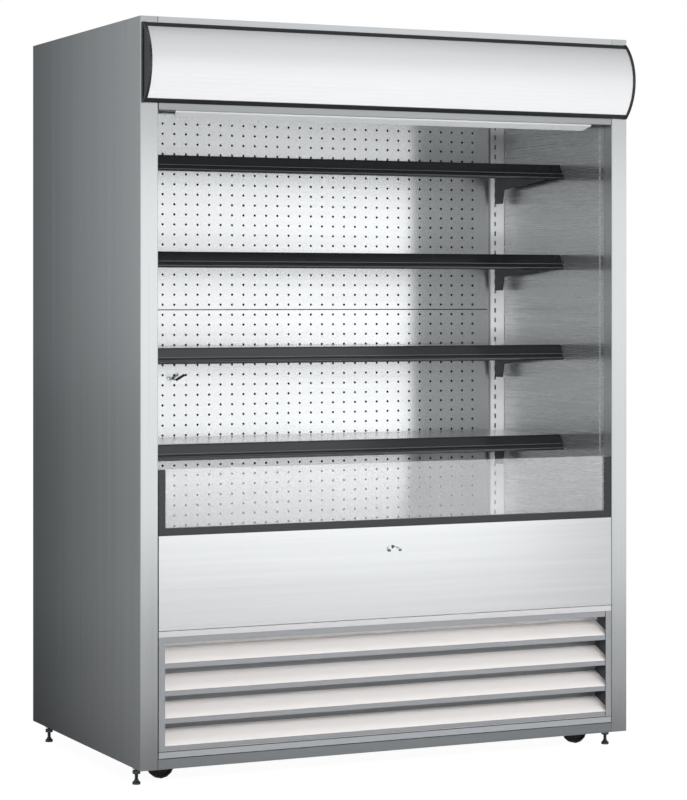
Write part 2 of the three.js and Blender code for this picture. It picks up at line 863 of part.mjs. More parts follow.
const trimFront = riserTrimSetback;
const trimBack = riserTrimSetback + riserTrimDepth;
const glassFront = (trimFront + trimBack - glassThickness) / 2;

function riserGlass() {
  const inset = riserTrimWidth - glassBite;
  return block(
    frontLeft + inset, frontRight - inset, glassFront, glassFront + glassThickness,
    panelTop + seam + inset, panelTop + riserTrimHeight + glassOverTrim,
  );
}

// U-shaped trim, grooved for the glass.
function riserTrim() {
  const bottom = panelTop + seam;
  const top = panelTop + riserTrimHeight;
  const plan = outline([
    [frontLeft, bottom], [frontRight, bottom], [frontRight, top],
    [frontRight - riserTrimWidth, top], [frontRight - riserTrimWidth, bottom + riserTrimWidth],
    [frontLeft + riserTrimWidth, bottom + riserTrimWidth], [frontLeft + riserTrimWidth, top],
    [frontLeft, top],
  ]);
  const inset = riserTrimWidth - glassBite - seam;
  const groove = block(
    frontLeft + inset, frontRight - inset, glassFront - seam, glassFront + glassThickness + seam,
    bottom + inset, top + 1,
  );
  return carved([alongY(plan, trimFront, trimBack)], [groove]);
}

function lowerFrontPanel() {
  const path = [
    [tubSetback - seam, panelBottom], [0, panelBottom], [0, panelTop], [panelFlange, panelTop],
  ];
  return alongX(folded(path, -sheet), frontLeft, frontRight);
}

// Small catch on the lower panel: an oval plate, two screw heads and a thin bow between them.
function panelCatch() {
  const z = panelTop - catchDrop;
  const half = catchWidth / 2 - catchHeight / 2;
  const plate = outline([
    ...arc(centre + half, z, catchHeight / 2, -Math.PI / 2, Math.PI / 2, 8),
    ...arc(centre - half, z, catchHeight / 2, Math.PI / 2, (3 * Math.PI) / 2, 8),
  ]);
  const screws = [-catchScrewSpread, catchScrewSpread].map((offset) => rodY(
    centre + offset, z, 4, -seam - 3.5, -seam - 1, 12,
  ));
  const bowWire = cable([
    [centre - 8, -seam - 1, z + 2], [centre - 7, -seam - 6, z + 5], [centre, -seam - 8, z + 7],
    [centre + 7, -seam - 6, z + 5], [centre + 8, -seam - 1, z + 2],
  ], 1.4, 8, 5);
  return carved([alongY(plate, -seam - 1.5, -seam), ...screws, bowWire]);
}

// Air probe: a lead from a hole of the rear panel, looped forward into a slim sensor body.
function airProbe() {
  const x = left + probeFromLeft;
  const z = deckTop + probeRise;
  const lead = cable([
    [x, interiorDepth - seam, z], [x - 1, interiorDepth - 12, z - 1], [x - 6, interiorDepth - 20, z + 4],
    [x - 10, interiorDepth - 24, z + 1], [x - 5, interiorDepth - 25, z - 5],
    [x + 4, interiorDepth - 24, z - 3],
  ], 1.6, 12, 5);
  const body = new THREE.CylinderGeometry(3.8, 3.8, 30, 12);
  body.rotateX(Math.PI / 2).rotateY(Math.PI / 3).translate(x + 14, interiorDepth - 24, z + 2);
  return carved([lead, body]);
}

// ---- Louvre grille ---------------------------------------------------------------------------

// Pull-off grille: a mitred front border folded back into deep cheeks, and four broad louvres that
// run between the cheeks and rise to the rear, each with a turned-down front lip and an upturned
// rear edge.
function louvreGrille() {
  const x0 = frontLeft;
  const x1 = frontRight;
  const border = alongY(outline(
    rectangle(x0, x1, grilleBottom, grilleTop),
    [rectangle(
      x0 + grilleBorderSide, x1 - grilleBorderSide,
      grilleBottom + grilleBorderBottom, grilleTop - grilleBorderTop,
    )],
  ), 0, sheet);
  const cheek = outline([
    [sheet / 2, grilleBottom], [kickDepth - openLine, grilleBottom],
    [kickDepth - openLine, baseTop + openLine], [grilleDepth, baseTop + openLine],
    [grilleDepth, grilleTop], [sheet / 2, grilleTop],
  ]);
  const cheeks = [x0, x1 - sheet].map((x) => alongX(cheek, x, x + sheet));
  const rails = [
    block(x0, x1, sheet / 2, kickDepth / 2, grilleBottom, grilleBottom + sheet),
    block(x0, x1, sheet / 2, kickDepth / 2, grilleTop - sheet, grilleTop),
  ];
  const opening = grilleHeight - grilleBorderTop - grilleBorderBottom - louvreBottomGap;
  const louvrePitch = opening / (louvreCount - 0.06);
  const louvres = [];
  for (let i = 0; i < louvreCount; i += 1) {
    const lipTop = grilleBottom + grilleBorderBottom + louvreBottomGap + i * louvrePitch;
    const path = [
      [louvreSetback, lipTop - louvreLip], [louvreSetback, lipTop],
      [louvreSetback + louvreRun, lipTop + louvreRise],
      [louvreSetback + louvreRun, lipTop + louvreRise + louvreUpturn],
    ];
    louvres.push(alongX(folded(path, -sheet), x0 + sheet / 2, x1 - sheet / 2));
  }
  const pads = [x0 + grilleHeight / 2, x1 - grilleHeight / 2].map((x) => block(
    x - restPadWidth / 2, x + restPadWidth / 2, sheet / 2 + 4, restPadDepth,
    kickHeight + seam, grilleBottom + sheet / 2,
  ));
  return carved([border, ...cheeks, ...rails, ...louvres, ...pads]);
}

// ---- Refrigeration ---------------------------------------------------------------------------

// Blade ring of an axial fan that blows along +Y: a bored hub and twisted, swept blades.
function fanWheel(x, y, z, tipRadius, bladeCount) {
  const hubRadius = tipRadius * 0.3;
  const hubLength = tipRadius * 0.26;
  const hub = rodY(x, z, hubRadius, y, y + hubLength, 18);
  const bore = rodY(x, z, axleRadius + runningGap, y - 1, y + hubLength + 1, 12);
  const blades = [];
  for (let i = 0; i < bladeCount; i += 1) {
    const start = (2 * Math.PI * i) / bladeCount;
    const rings = [0.22, 0.48, 0.74, 1].map((share) => {
      const radius = tipRadius * share;
      const chord = tipRadius * (0.18 + 0.42 * share);
      const pitch = THREE.MathUtils.degToRad(46 - 24 * share);
      const sweep = start + 0.35 * share;
      const halfChord = chord / 2;
      const along = [Math.cos(pitch), Math.sin(pitch)];
      const corner = (c, t) => {
        const tangent = c * along[0] - t * along[1];
        const rise = c * along[1] + t * along[0];
        const angle = sweep + tangent / Math.max(radius, hubRadius);
        return [
          x + radius * Math.cos(angle), y + hubLength / 2 + rise * 0.6, z + radius * Math.sin(angle),
        ];
      };
      return [
        corner(-halfChord, 1.2), corner(halfChord, 1.2),
        corner(halfChord, -1.2), corner(-halfChord, -1.2),
      ];
    });
    blades.push(loft(rings));
  }
  return carved([hub, ...blades], [bore]);
}

// Finned coil with tube returns at its ends, a shroud behind it, and the motor that the fan turns
// on, held by a bar across the shroud's ring. Air is drawn back through the fins.
function finnedUnit({ x0, x1, y0, depth, z0, z1, finPitch, fanX, fanRadius, ringDepth, passes }) {
  const finZ0 = z0 + 10;
  const finZ1 = z1 - 6;
  const comb = [];
  const grooves = Math.floor((x1 - x0 - 2 * coilPlate) / finPitch);
  const first = (x0 + x1 - grooves * finPitch) / 2;
  const front = [];
  const back = [];
  const nearCore = y0 + (depth - coilCore) / 2;
  for (let i = 0; i < grooves; i += 1) {
    const g0 = first + i * finPitch + finThickness / 2;
    const g1 = g0 + finPitch - finThickness;
    front.push([g0, y0], [g0, nearCore], [g1, nearCore], [g1, y0]);
    back.unshift(
      [g1, y0 + depth], [g1, nearCore + coilCore], [g0, nearCore + coilCore], [g0, y0 + depth],
    );
  }
  comb.push([x0 + coilPlate / 2, y0], ...front, [x1 - coilPlate / 2, y0]);
  comb.push([x1 - coilPlate / 2, y0 + depth], ...back, [x0 + coilPlate / 2, y0 + depth]);
  const shroudY = y0 + depth;
  const fanZ = (z0 + z1) / 2;
  const ringOut = fanRadius + 5;
  const barY = shroudY + coilPlate + ringDepth;
  const pieces = [
    alongZ(outline(comb), finZ0, finZ1),
    block(x0, x0 + coilPlate, y0, shroudY + coilPlate / 2, z0, z1),
    block(x1 - coilPlate, x1, y0, shroudY + coilPlate / 2, z0, z1),
    block(x0, x1, shroudY - coilPlate / 2, shroudY + coilPlate, z0, z1),
    rodY(fanX, fanZ, ringOut, shroudY, barY, 24),
  ];
  const step = (finZ1 - finZ0) / (passes * 2);
  for (const [x, outward] of [[x0 + coilPlate / 2, -1], [x1 - coilPlate / 2, 1]]) {
    for (let i = 0; i < passes; i += 1) {
      const low = finZ0 + (2 * i + 0.5) * step;
      const y = y0 + depth / 2;
      const reach = x + outward * (step / 2 + 6);
      pieces.push(cable([
        [x, y, low], [reach - outward * 4, y, low + step * 0.08], [reach, y, low + step / 2],
        [reach - outward * 4, y, low + step * 0.92], [x, y, low + step],
      ], 4, 5, 5));
    }
  }
  const bars = [
    block(fanX - ringOut + 1, fanX + ringOut - 1, barY - 3, barY, fanZ - 7, fanZ + 7),
    rodY(fanX, fanZ, fanRadius * 0.28, barY - 1, barY + fanMotorLength, 16),
    rodY(fanX, fanZ, axleRadius, barY - ringDepth + 4, barY, 12),
  ];
  const mouth = rodY(fanX, fanZ, fanRadius + 3, shroudY - coilPlate / 2, barY + 1, 24);
  return surfaceOf(lessAll(union(pieces), [mouth]).add(union(bars)));
}

// Hermetic compressor: a welded shell on a mounting plate with four grommets, a terminal cover and
// two tube stubs.
function compressor() {
  const r = compressorRadius;
  const h = compressorHeight;
  const z = baseTop + seam;
  const shellZ = z + grommetHeight - compressorPlate;
  const profile = [
    [0, 0], [0.75, 0], [0.96, 0.1], [1, 0.43], [1.04, 0.44], [1.04, 0.47], [1, 0.48],
    [0.97, 0.71], [0.78, 0.91], [0.34, 0.99], [0, 1],
  ].map(([across, up]) => new THREE.Vector2(across * r, up * h));
  const shell = new THREE.LatheGeometry(profile, 16).rotateX(Math.PI / 2);
  shell.translate(compressorX, compressorY, shellZ);
  const margin = 2 * grommetRadius;
  const plate = block(
    compressorX - r - margin, compressorX + r + margin, compressorY - r + margin / 2,
    compressorY + r - margin / 2, shellZ, shellZ + compressorPlate,
  );
  const pieces = [shell, plate];
  for (const dx of [-r - grommetRadius, r + grommetRadius]) {
    for (const dy of [-r + margin, r - margin]) {
      pieces.push(rodZ(
        compressorX + dx, compressorY + dy, grommetRadius, z, z + grommetHeight, 10,
      ));
    }
  }
  pieces.push(block(
    compressorX - r / 3, compressorX + r / 3, compressorY - 1.25 * r, compressorY - 0.8 * r,
    shellZ + 0.25 * h, shellZ + 0.6 * h,
  ));
  const stub = (side, low, top, radius) => cable([
    [0.8, 0.33, low], [1.3, 0.42, low + 0.02], [1.45, 0.46, low + 0.14], [1.45, 0.46, top],
  ].map(([across, back, up]) => [
    compressorX + side * across * r, compressorY + back * r, shellZ + up * h,
  ]), radius, 6, 5);
  pieces.push(stub(1, 0.55, 1.1, suctionRadius), stub(-1, 0.3, 0.9, dischargeRadius));
  return carved(pieces);
}

// ---- Casters and feet ------------------------------------------------------------------------

const wheelZ = -floorGap + wheelClearance + wheelRadius;
const forkTop = casterPlateUnder - seam;

function wheelX(side) {
  return fromSide(side, wall + casterInset - casterTrail);
}

// Swivel fork: round head, king pin, two cheeks and the axle.
function casterFork(side, y) {
  const x = fromSide(side, wall + casterInset);
  const axle = wheelX(side);
  const inner = wheelWidth / 2 + forkSideGap;
  const cheek = outline([
    [x - 24, forkTop - 3], [x + 24, forkTop - 3], [(x + axle) / 2 + 20, forkTop - 24],
    [axle + 11, wheelZ], [axle + 6, wheelZ - 10], [axle - 6, wheelZ - 10], [axle - 11, wheelZ],
    [(x + axle) / 2 - 22, forkTop - 24],
  ]);
  const pieces = [
    rodZ(x, y, 30, forkTop - 5, forkTop, 16),
    rodZ(x, y, kingPinRadius, forkTop - 1, baseTop - baseSheet - seam, 10),
    block(x - 24, x + 24, y - inner - forkSheet, y + inner + forkSheet, forkTop - 7, forkTop - 3),
    alongY(cheek, y - inner - forkSheet, y - inner),
    alongY(cheek, y + inner, y + inner + forkSheet),
    rodY(axle, wheelZ, axleRadius, y - inner - forkSheet - 3, y + inner + forkSheet + 3, 10),
  ];
  return carved(pieces);
}

// Wheel with a rounded tread, recessed flanks and a bored hub.
function casterWheel(side, y) {
  const half = wheelWidth / 2;
  const r = wheelRadius;
  const bore = axleRadius + runningGap;
  const profile = [
    [bore, -half], [12, -half], [13, -half + 5], [r - 9, -half + 5], [r - 8, -half],
    [r - 4, -half], [r, -half + 5], [r, half - 5], [r - 4, half], [r - 8, half],
    [r - 9, half - 5], [13, half - 5], [12, half], [bore, half], [bore, -half],
  ].map(([radius, height]) => new THREE.Vector2(radius, height));
  return new THREE.LatheGeometry(profile, 14).translate(wheelX(side), y, wheelZ);
}

// Levelling foot: a threaded stud with a flat round head.
function levellingFoot(x, y) {
  const profile = [
    [0, -floorGap], [footHeadRadius - 1, -floorGap], [footHeadRadius, -floorGap + 1],
    [footHeadRadius, -floorGap + footHeadHeight - 1], [footHeadRadius - 1, -floorGap + footHeadHeight],
    [studRadius, -floorGap + footHeadHeight], [studRadius, studAbove - 1], [studRadius - 1, studAbove],
    [0, studAbove],
  ].map(([radius, height]) => new THREE.Vector2(radius, height));
  return new THREE.LatheGeometry(profile, 12).rotateX(Math.PI / 2).translate(x, y, 0);
}

// ---- Assembly --------------------------------------------------------------------------------

const fridge = new THREE.Group();
const frontReach = lightBoxCorner + lightBoxBow + capProud;
fridge.position.set(-centre, -(cabinetDepth - frontReach) / 2, floorGap);

function place(name, geometry, material, z = 0) {
  const mesh = new THREE.Mesh(geometry, material);
  mesh.name = name;
  mesh.position.z = z;
  fridge.add(mesh);
}

place('side_panel_left', sidePanel('left'), brushedStainless);
place('side_panel_right', sidePanel('right'), brushedStainless);
place('rear_wall', rearWall(), galvanisedSteel);
place('roof_panel', roofPanel(), brushedStainless);
place('base_frame', baseFrame(), brushedStainless);
place('cavity_floor', cavityFloor(), linerStainless);

place('header_panel', headerPanel(), brushedStainless);
place('lightbox_body', lightBoxBody(), blackTrim);
place('lightbox_diffuser', lightBoxDiffuser(), whiteDiffuser);
place('lightbox_cap_left', lightBoxCap('left'), blackTrim);
place('lightbox_cap_right', lightBoxCap('right'), blackTrim);
place('lightbox_led_tube', ledTube(), whiteDiffuser);
place('interior_lamp', interiorLamp(), whiteDiffuser);
place('air_outlet_grille', airOutletGrille(), coilAluminium);
place('duct_ceiling', ductCeiling(), linerStainless);

place('rear_panel_upper', rearPanel(rearSeam, ceilingUnder - seam), linerStainless);
place('rear_panel_lower', lowerRearPanel(), linerStainless);
for (const side of ['left', 'right']) {
  place(`upright_${side}`, upright(side), galvanisedSteel);
}
shelfTops.forEach((top, i) => {
  place(`shelf_${i + 1}`, shelf(), shelfWhite, top);
  place(`ticket_strip_${i + 1}`, ticketStrip(), blackTrim, top);
  place(`bracket_left_${i + 1}`, bracket('left'), greyBracket, top);
  place(`bracket_right_${i + 1}`, bracket('right'), greyBracket, top);
});
place('deck_tray', deckTray(), linerStainless);
place('return_air_grille', returnAirGrille(), linerStainless);
place('temp_probe', airProbe(), blackRubber);

place('riser_glass', riserGlass(), clearGlass);
place('riser_trim', riserTrim(), blackTrim);
place('lower_front_panel', lowerFrontPanel(), brushedStainless);
place('panel_catch', panelCatch(), zincSteel);
place('louvre_grille', louvreGrille(), paintedLouvre);

const condenser = {
  x0: left + condenserInset,
  x1: left + condenserInset + condenserWidth,
  y0: grilleDepth + condenserBehindGrille,
  depth: condenserDepth,
  finPitch: condenserFinPitch,
  z0: baseTop + seam,
  z1: baseTop + seam + condenserHeight,
  fanX: left + condenserInset + condenserWidth / 2,
  fanRadius: condenserFanRadius,
  ringDepth: 44,
  passes: 3,
};
place('condenser_coil', finnedUnit(condenser), coilAluminium);
place('condenser_fan', fanWheel(
  condenser.fanX, condenser.y0 + condenserDepth + 8, (condenser.z0 + condenser.z1) / 2,
  condenserFanRadius, 5,
), blackEnamel);

const evaporator = {
  x0: centre - evaporatorWidth / 2,
  x1: centre + evaporatorWidth / 2,
  y0: interiorDepth - evaporatorSetback,
  depth: evaporatorDepth,
  finPitch: evaporatorFinPitch,
  z0: tubInside + seam,
  z1: tubInside + seam + evaporatorHeight,
  fanX: centre,
  fanRadius: evaporatorFanRadius,
  ringDepth: 26,
  passes: 2,
};
place('evaporator_coil', finnedUnit(evaporator), coilAluminium);
place('evaporator_fan', fanWheel(
  evaporator.fanX, evaporator.y0 + evaporatorDepth + 8, (evaporator.z0 + evaporator.z1) / 2,
  evaporatorFanRadius, 5,
), blackEnamel);
place('compressor', compressor(), blackEnamel);

for (const spot of casterSpots) {
  place(`caster_fork_${spot.name}`, casterFork(spot.side, spot.y), zincSteel);
  place(`caster_wheel_${spot.name}`, casterWheel(spot.side, spot.y), blackRubber);
}
const footSpots = [
  { name: 'front_left', side: 'left', y: footRows[0] },
  { name: 'front_right', side: 'right', y: footRows[0] },
  { name: 'rear_left', side: 'left', y: footRows[1] },
  { name: 'rear_right', side: 'right', y: footRows[1] },
];
for (const spot of footSpots) {
  place(`foot_${spot.name}`, levellingFoot(fromSide(spot.side, footInset), spot.y), zincSteel);
}

export default fridge;
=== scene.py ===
# Open multideck display fridge: dressed over its CAD frame.
import math

import bmesh
import bpy
from mathutils import Matrix, Vector


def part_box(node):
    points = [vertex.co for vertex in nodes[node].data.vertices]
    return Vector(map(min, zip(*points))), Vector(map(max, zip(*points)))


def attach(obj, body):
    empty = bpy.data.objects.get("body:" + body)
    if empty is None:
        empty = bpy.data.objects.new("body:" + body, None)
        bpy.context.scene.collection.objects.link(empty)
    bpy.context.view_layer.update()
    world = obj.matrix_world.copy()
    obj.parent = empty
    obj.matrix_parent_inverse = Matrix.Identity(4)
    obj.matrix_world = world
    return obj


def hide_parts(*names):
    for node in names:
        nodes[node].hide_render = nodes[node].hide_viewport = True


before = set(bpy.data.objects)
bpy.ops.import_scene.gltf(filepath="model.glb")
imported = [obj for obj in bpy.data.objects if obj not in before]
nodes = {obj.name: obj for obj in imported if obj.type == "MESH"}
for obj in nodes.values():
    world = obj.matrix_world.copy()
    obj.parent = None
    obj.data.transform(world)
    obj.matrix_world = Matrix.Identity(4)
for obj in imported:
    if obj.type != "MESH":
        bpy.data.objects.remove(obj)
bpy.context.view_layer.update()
scene = bpy.context.scene
scene.view_settings.view_transform = "Standard"
print("frame loaded:", len(nodes), "nodes")

mm = 0.001
near = 1e-6     # m, points closer than this lie in one place


# sRGB hex to linear
def fromHex(code):
    channels = [int(code[i:i + 2], 16) / 255 for i in (1, 3, 5)]
    linear = [c / 12.92 if c <= 0.04045 else ((c + 0.055) / 1.055) ** 2.4 for c in channels]
    return (*linear, 1.0)


# adds a node; each setting is a value, or another node's output to link from
def addNode(tree, kind, settings=None):
    node = tree.nodes.new(kind)
    for name, value in (settings or {}).items():
        if isinstance(value, bpy.types.NodeSocket):
            tree.links.new(value, node.inputs[name])
        elif isinstance(name, int) or name in node.inputs:
            node.inputs[name].default_value = value
        else:
            setattr(node, name, value)
    return node


# In the helpers below an operand is a number or an output, a colour a hex code or an output
def compute(tree, operation, *operands):
    settings = {"operation": operation, **dict(enumerate(operands))}
    return addNode(tree, "ShaderNodeMath", settings).outputs[0]


def mixValues(tree, share, low, high):
    return addNode(tree, "ShaderNodeMix", {0: share, 2: low, 3: high}).outputs[0]


def mixColours(tree, share, low, high):
    low, high = [fromHex(c) if isinstance(c, str) else c for c in (low, high)]
    settings = {"data_type": "RGBA", 0: share, 6: low, 7: high}
    return addNode(tree, "ShaderNodeMix", settings).outputs[2]


def remap(tree, source, fromRange=(0.0, 1.0), toRange=(0.0, 1.0), blend="LINEAR"):
    return addNode(tree, "ShaderNodeMapRange", {
        "interpolation_type": blend, "Value": source, "From Min": fromRange[0],
        "From Max": fromRange[1], "To Min": toRange[0], "To Max": toRange[1],
    }).outputs["Result"]


# a level that wavers with the source, from some way below it to some way above
def waver(tree, source, level, below, above):
    return remap(tree, source, toRange=(level - below, level + above))


# a colour made lighter or darker
def toned(tree, colour, tone):
    colour = fromHex(colour)[:3] if isinstance(colour, str) else colour
    settings = {"operation": "SCALE", 0: colour, "Scale": tone}
    return addNode(tree, "ShaderNodeVectorMath", settings).outputs[0]


def evenNoise(tree, where, scale, detail=2.0):
    settings = {"Scale": scale, "Detail": detail, "Vector": where}
    return addNode(tree, "ShaderNodeTexNoise", settings).outputs["Fac"]


# noise with a scale of its own along each axis
def stretchedNoise(tree, where, scale, **settings):
    lay = addNode(tree, "ShaderNodeMapping", {"Scale": scale, "Vector": where})
    settings = {"Scale": 1.0, **settings, "Vector": lay.outputs["Vector"]}
    return addNode(tree, "ShaderNodeTexNoise", settings).outputs["Fac"]


def relief(tree, source, strength, depth):
    settings = {"Strength": strength, "Distance": depth, "Height": source}
    return addNode(tree, "ShaderNodeBump", settings).outputs["Normal"]


def steadyVector(tree, vector):
    return addNode(tree, "ShaderNodeCombineXYZ", dict(zip("XYZ", vector))).outputs["Vector"]


# new material, its node tree and its object coordinates
def startMaterial(name):
    material = bpy.data.materials.new(name)
    material.use_nodes = True
    tree = material.node_tree
    tree.nodes.clear()
    return material, tree, addNode(tree, "ShaderNodeTexCoord").outputs["Object"]


def finishMaterial(material, settings):
    shader = addNode(material.node_tree, "ShaderNodeBsdfPrincipled", settings)
    addNode(material.node_tree, "ShaderNodeOutputMaterial", {"Surface": shader.outputs[0]})
    return material


brushed = {
    "grainLength": 0.9,         # m, along the brushing
    "grainWidth": 1.6 * mm,     # real lines are 0.2 mm; drawn coarser so that they show
    "bandWidth": 14,            # lines to a broad band
    "bandRate": 0.6,            # bands change this often along the grain for each change of a line
    "bandShare": 0.4,           # of the bands in the tone
    "ramp": (0.35, 0.65),       # where the tone is darkest and lightest
    "roughSpread": (0.05, 0.07),
    "relief": (0.12, 0.05 * mm),
    "anisotropic": 0.6,
}


# Belt brushing along one axis: its fine lines, and their tone with broad bands mixed in
def brushing(tree, where, along, bands):
    fine = 1 / brushed["grainWidth"]
    coarse = 1 / brushed["grainLength"]
    scale = tuple(coarse if axis == along else fine for axis in "xyz")
    wide = tuple(coarse * bands["bandRate"] if axis == along else fine / bands["bandWidth"]
                 for axis in "xyz")
    lines = stretchedNoise(tree, where, scale, Detail=3.0, Roughness=0.6)
    broad = stretchedNoise(tree, where, wide, Detail=2.0)
    return lines, mixValues(tree, bands["bandShare"], lines, broad)


# Sheet stainless, belt brushed along one axis. The tangent lies across the grain, so that a
# reflection is drawn out that way and stays sharp along it
def brushedStainless(name, along, base, shade, roughness=0.30):
    material, tree, where = startMaterial(name)
    lines, grain = brushing(tree, where, along, brushed)
    tint = addNode(tree, "ShaderNodeValToRGB", {"Fac": grain})
    for stop, place, colour in zip(tint.color_ramp.elements, brushed["ramp"], (shade, base)):
        stop.position = place
        stop.color = fromHex(colour)
    return finishMaterial(material, {
        "Metallic": 1.0, "Anisotropic": brushed["anisotropic"],
        "Base Color": tint.outputs["Color"],
        "Roughness": waver(tree, lines, roughness, *brushed["roughSpread"]),
        "Normal": relief(tree, lines, *brushed["relief"]),
        "Tangent": steadyVector(tree, [0.0 if axis == along else 1.0 for axis in "xyz"])})


# Colours are a darker and a lighter one; a roughness is its level, and how far it goes below
# and above
side = {
    "outerFace": 0.7497,    # m from the middle; the outer face is at 0.750
    "wallInner": 0.7003,    # m from the middle; the inner face is at 0.700
    "postBack": -0.3765,    # m, where the post's wrap ends on the inner face
    "bandWidth": 16, "bandRate": 0.5, "bandShare": 0.45,
    "contrast": (0.35, 0.65),
    "outer": ("#b9bdc0", "#c3c7c9"),
    "outerPaintedShade": ("#6f7477", "#777c7e"),    # painted shade: the outside is drawn darker towards the rear
    "fadeToPaintedShade": (-0.42, 0.48),            # m, from the front colour to the painted-shade rear one
    "post": ("#c9cccd", "#d2d5d6"),
    "lining": ("#e3e6e7", "#eceeef"),
    "streaks": (4, 1.2, 160),               # per metre, level streaks of the rolled lining
    "outerRoughness": (0.34, 0.05, 0.06),
    "postRoughness": (0.29, 0.03, 0.04),
    "liningRoughness": (0.26, 0.03, 0.05),
    "relief": (0.10, 0.05 * mm),
    "uprightTangent": (1, 1, 0),
    "liningTangent": (0.01, 1, 0.02),
}


# One wall panel in three finishes: upright brushing outside, brighter brushing on the post,
# and bright rolled steel inside, whose mirror is drawn out level. The lining's tangent leans a
# hair, so that faces square to y have one too
def sideWall(name, sign):
    material, tree, where = startMaterial(name)
    place = addNode(tree, "ShaderNodeSeparateXYZ", {"Vector": where})
    across = compute(tree, "MULTIPLY", place.outputs["X"], sign)
    isInner = compute(tree, "LESS_THAN", across, side["wallInner"])
    isBehind = compute(tree, "GREATER_THAN", place.outputs["Y"], side["postBack"])
    isLining = compute(tree, "MULTIPLY", isInner, isBehind)
    isOuter = compute(tree, "GREATER_THAN", across, side["outerFace"])

    # upright grain
    lines, grain = brushing(tree, where, "z", side)
    contrast = remap(tree, grain, side["contrast"])
    front = mixColours(tree, contrast, *side["outer"])
    # painted shade: the outside fades darker towards the rear
    shadedRear = mixColours(tree, contrast, *side["outerPaintedShade"])
    depth = remap(tree, place.outputs["Y"], side["fadeToPaintedShade"])
    outer = mixColours(tree, depth, front, shadedRear)
    post = mixColours(tree, contrast, *side["post"])
    outside = mixColours(tree, isOuter, post, outer)

    streaks = stretchedNoise(tree, where, side["streaks"], Detail=4.0, Roughness=0.65)
    lining = mixColours(tree, remap(tree, streaks, side["contrast"]), *side["lining"])

    roughPost = waver(tree, grain, *side["postRoughness"])
    roughSide = waver(tree, grain, *side["outerRoughness"])
    roughOut = mixValues(tree, isOuter, roughPost, roughSide)
    roughIn = waver(tree, streaks, *side["liningRoughness"])
    tangent = addNode(tree, "ShaderNodeMix", {
        "data_type": "VECTOR", 0: isLining, 4: side["uprightTangent"], 5: side["liningTangent"]})
    return finishMaterial(material, {
        "Metallic": 1.0, "Anisotropic": 1.0,
        "Base Color": mixColours(tree, isLining, outside, lining),
        "Roughness": mixValues(tree, isLining, roughOut, roughIn),
        "Normal": relief(tree, lines, *side["relief"]),
        "Tangent": tangent.outputs[1]})


rolled = {
    "marks": (1.5, 6, 90),          # per metre
    "roughShares": (0.9, 1.12),
    "tangent": (0.01, 0.02, 1.0),
}


# Bright rolled stainless: faint level roll marks, and a mirror that is sharp along them but
# smears upright, so that shelves leave no image in it. The tangent leans a hair off upright
# so that level faces have one too
def rolledStainless(name, base, shade, roughness):
    material, tree, where = startMaterial(name)
    marks = stretchedNoise(tree, where, rolled["marks"], Detail=4.0)
    smooth, rough = [roughness * share for share in rolled["roughShares"]]
    return finishMaterial(material, {
        "Metallic": 1.0, "Anisotropic": 1.0,
        "Base Color": mixColours(tree, marks, shade, base),
        "Roughness": remap(tree, marks, toRange=(smooth, rough)),
        "Tangent": steadyVector(tree, rolled["tangent"])})


powder = {
    "peel": 2.5 * mm,
    "drift": 3.0,               # per metre, slow changes of tone
    "toneSpread": (0.05, 0.05),
    "roughSpread": (0.04, 0.05),
    "relief": (0.08, 0.06 * mm),
}


# Powder coat on steel: an even sheen with very slight orange peel
def powderCoat(name, base, roughness):
    material, tree, where = startMaterial(name)
    peel = evenNoise(tree, where, 1 / powder["peel"])
    tone = waver(tree, evenNoise(tree, where, powder["drift"]), 1, *powder["toneSpread"])
    return finishMaterial(material, {
        "Metallic": 0.0, "Base Color": toned(tree, base, tone),
        "Roughness": waver(tree, peel, roughness, *powder["roughSpread"]),
        "Normal": relief(tree, peel, *powder["relief"])})


louvre = {
    "slope": "#f6f2f0",         # broad sloping faces, painted pale as if lit
    "upward": (0.3, 0.7),       # from upright to sloping, by how much a face looks up
    "slopeBack": -0.345,        # m, behind it the topmost louvre goes on upright
    "topLouvre": 0.3645,        # m
    "front": "#7b7d80",         # border and lips, square to the front, painted grey as if shaded
    "crownHighlight": "#a9a8aa",         # painted highlight along the border's rolled top
    "crownFoot": 0.401,         # m, where the rolled top starts
    "foot": "#898c8f",          # painted highlight along the border's rolled foot
    "seam": (0.0949, 0.0972),   # m, the lowest lip meets the border in an open seam
    "shade": "#3c3e40",         # painted shade in the seam and on the inner cheeks
    "cheek": -0.4,              # m, x of a face that looks straight to the middle
    "lines": (1.3, 380, 380),   # per metre
    "tone": (0.97, 1.02),
    "roughness": (0.38, 0.05, 0.06),
}
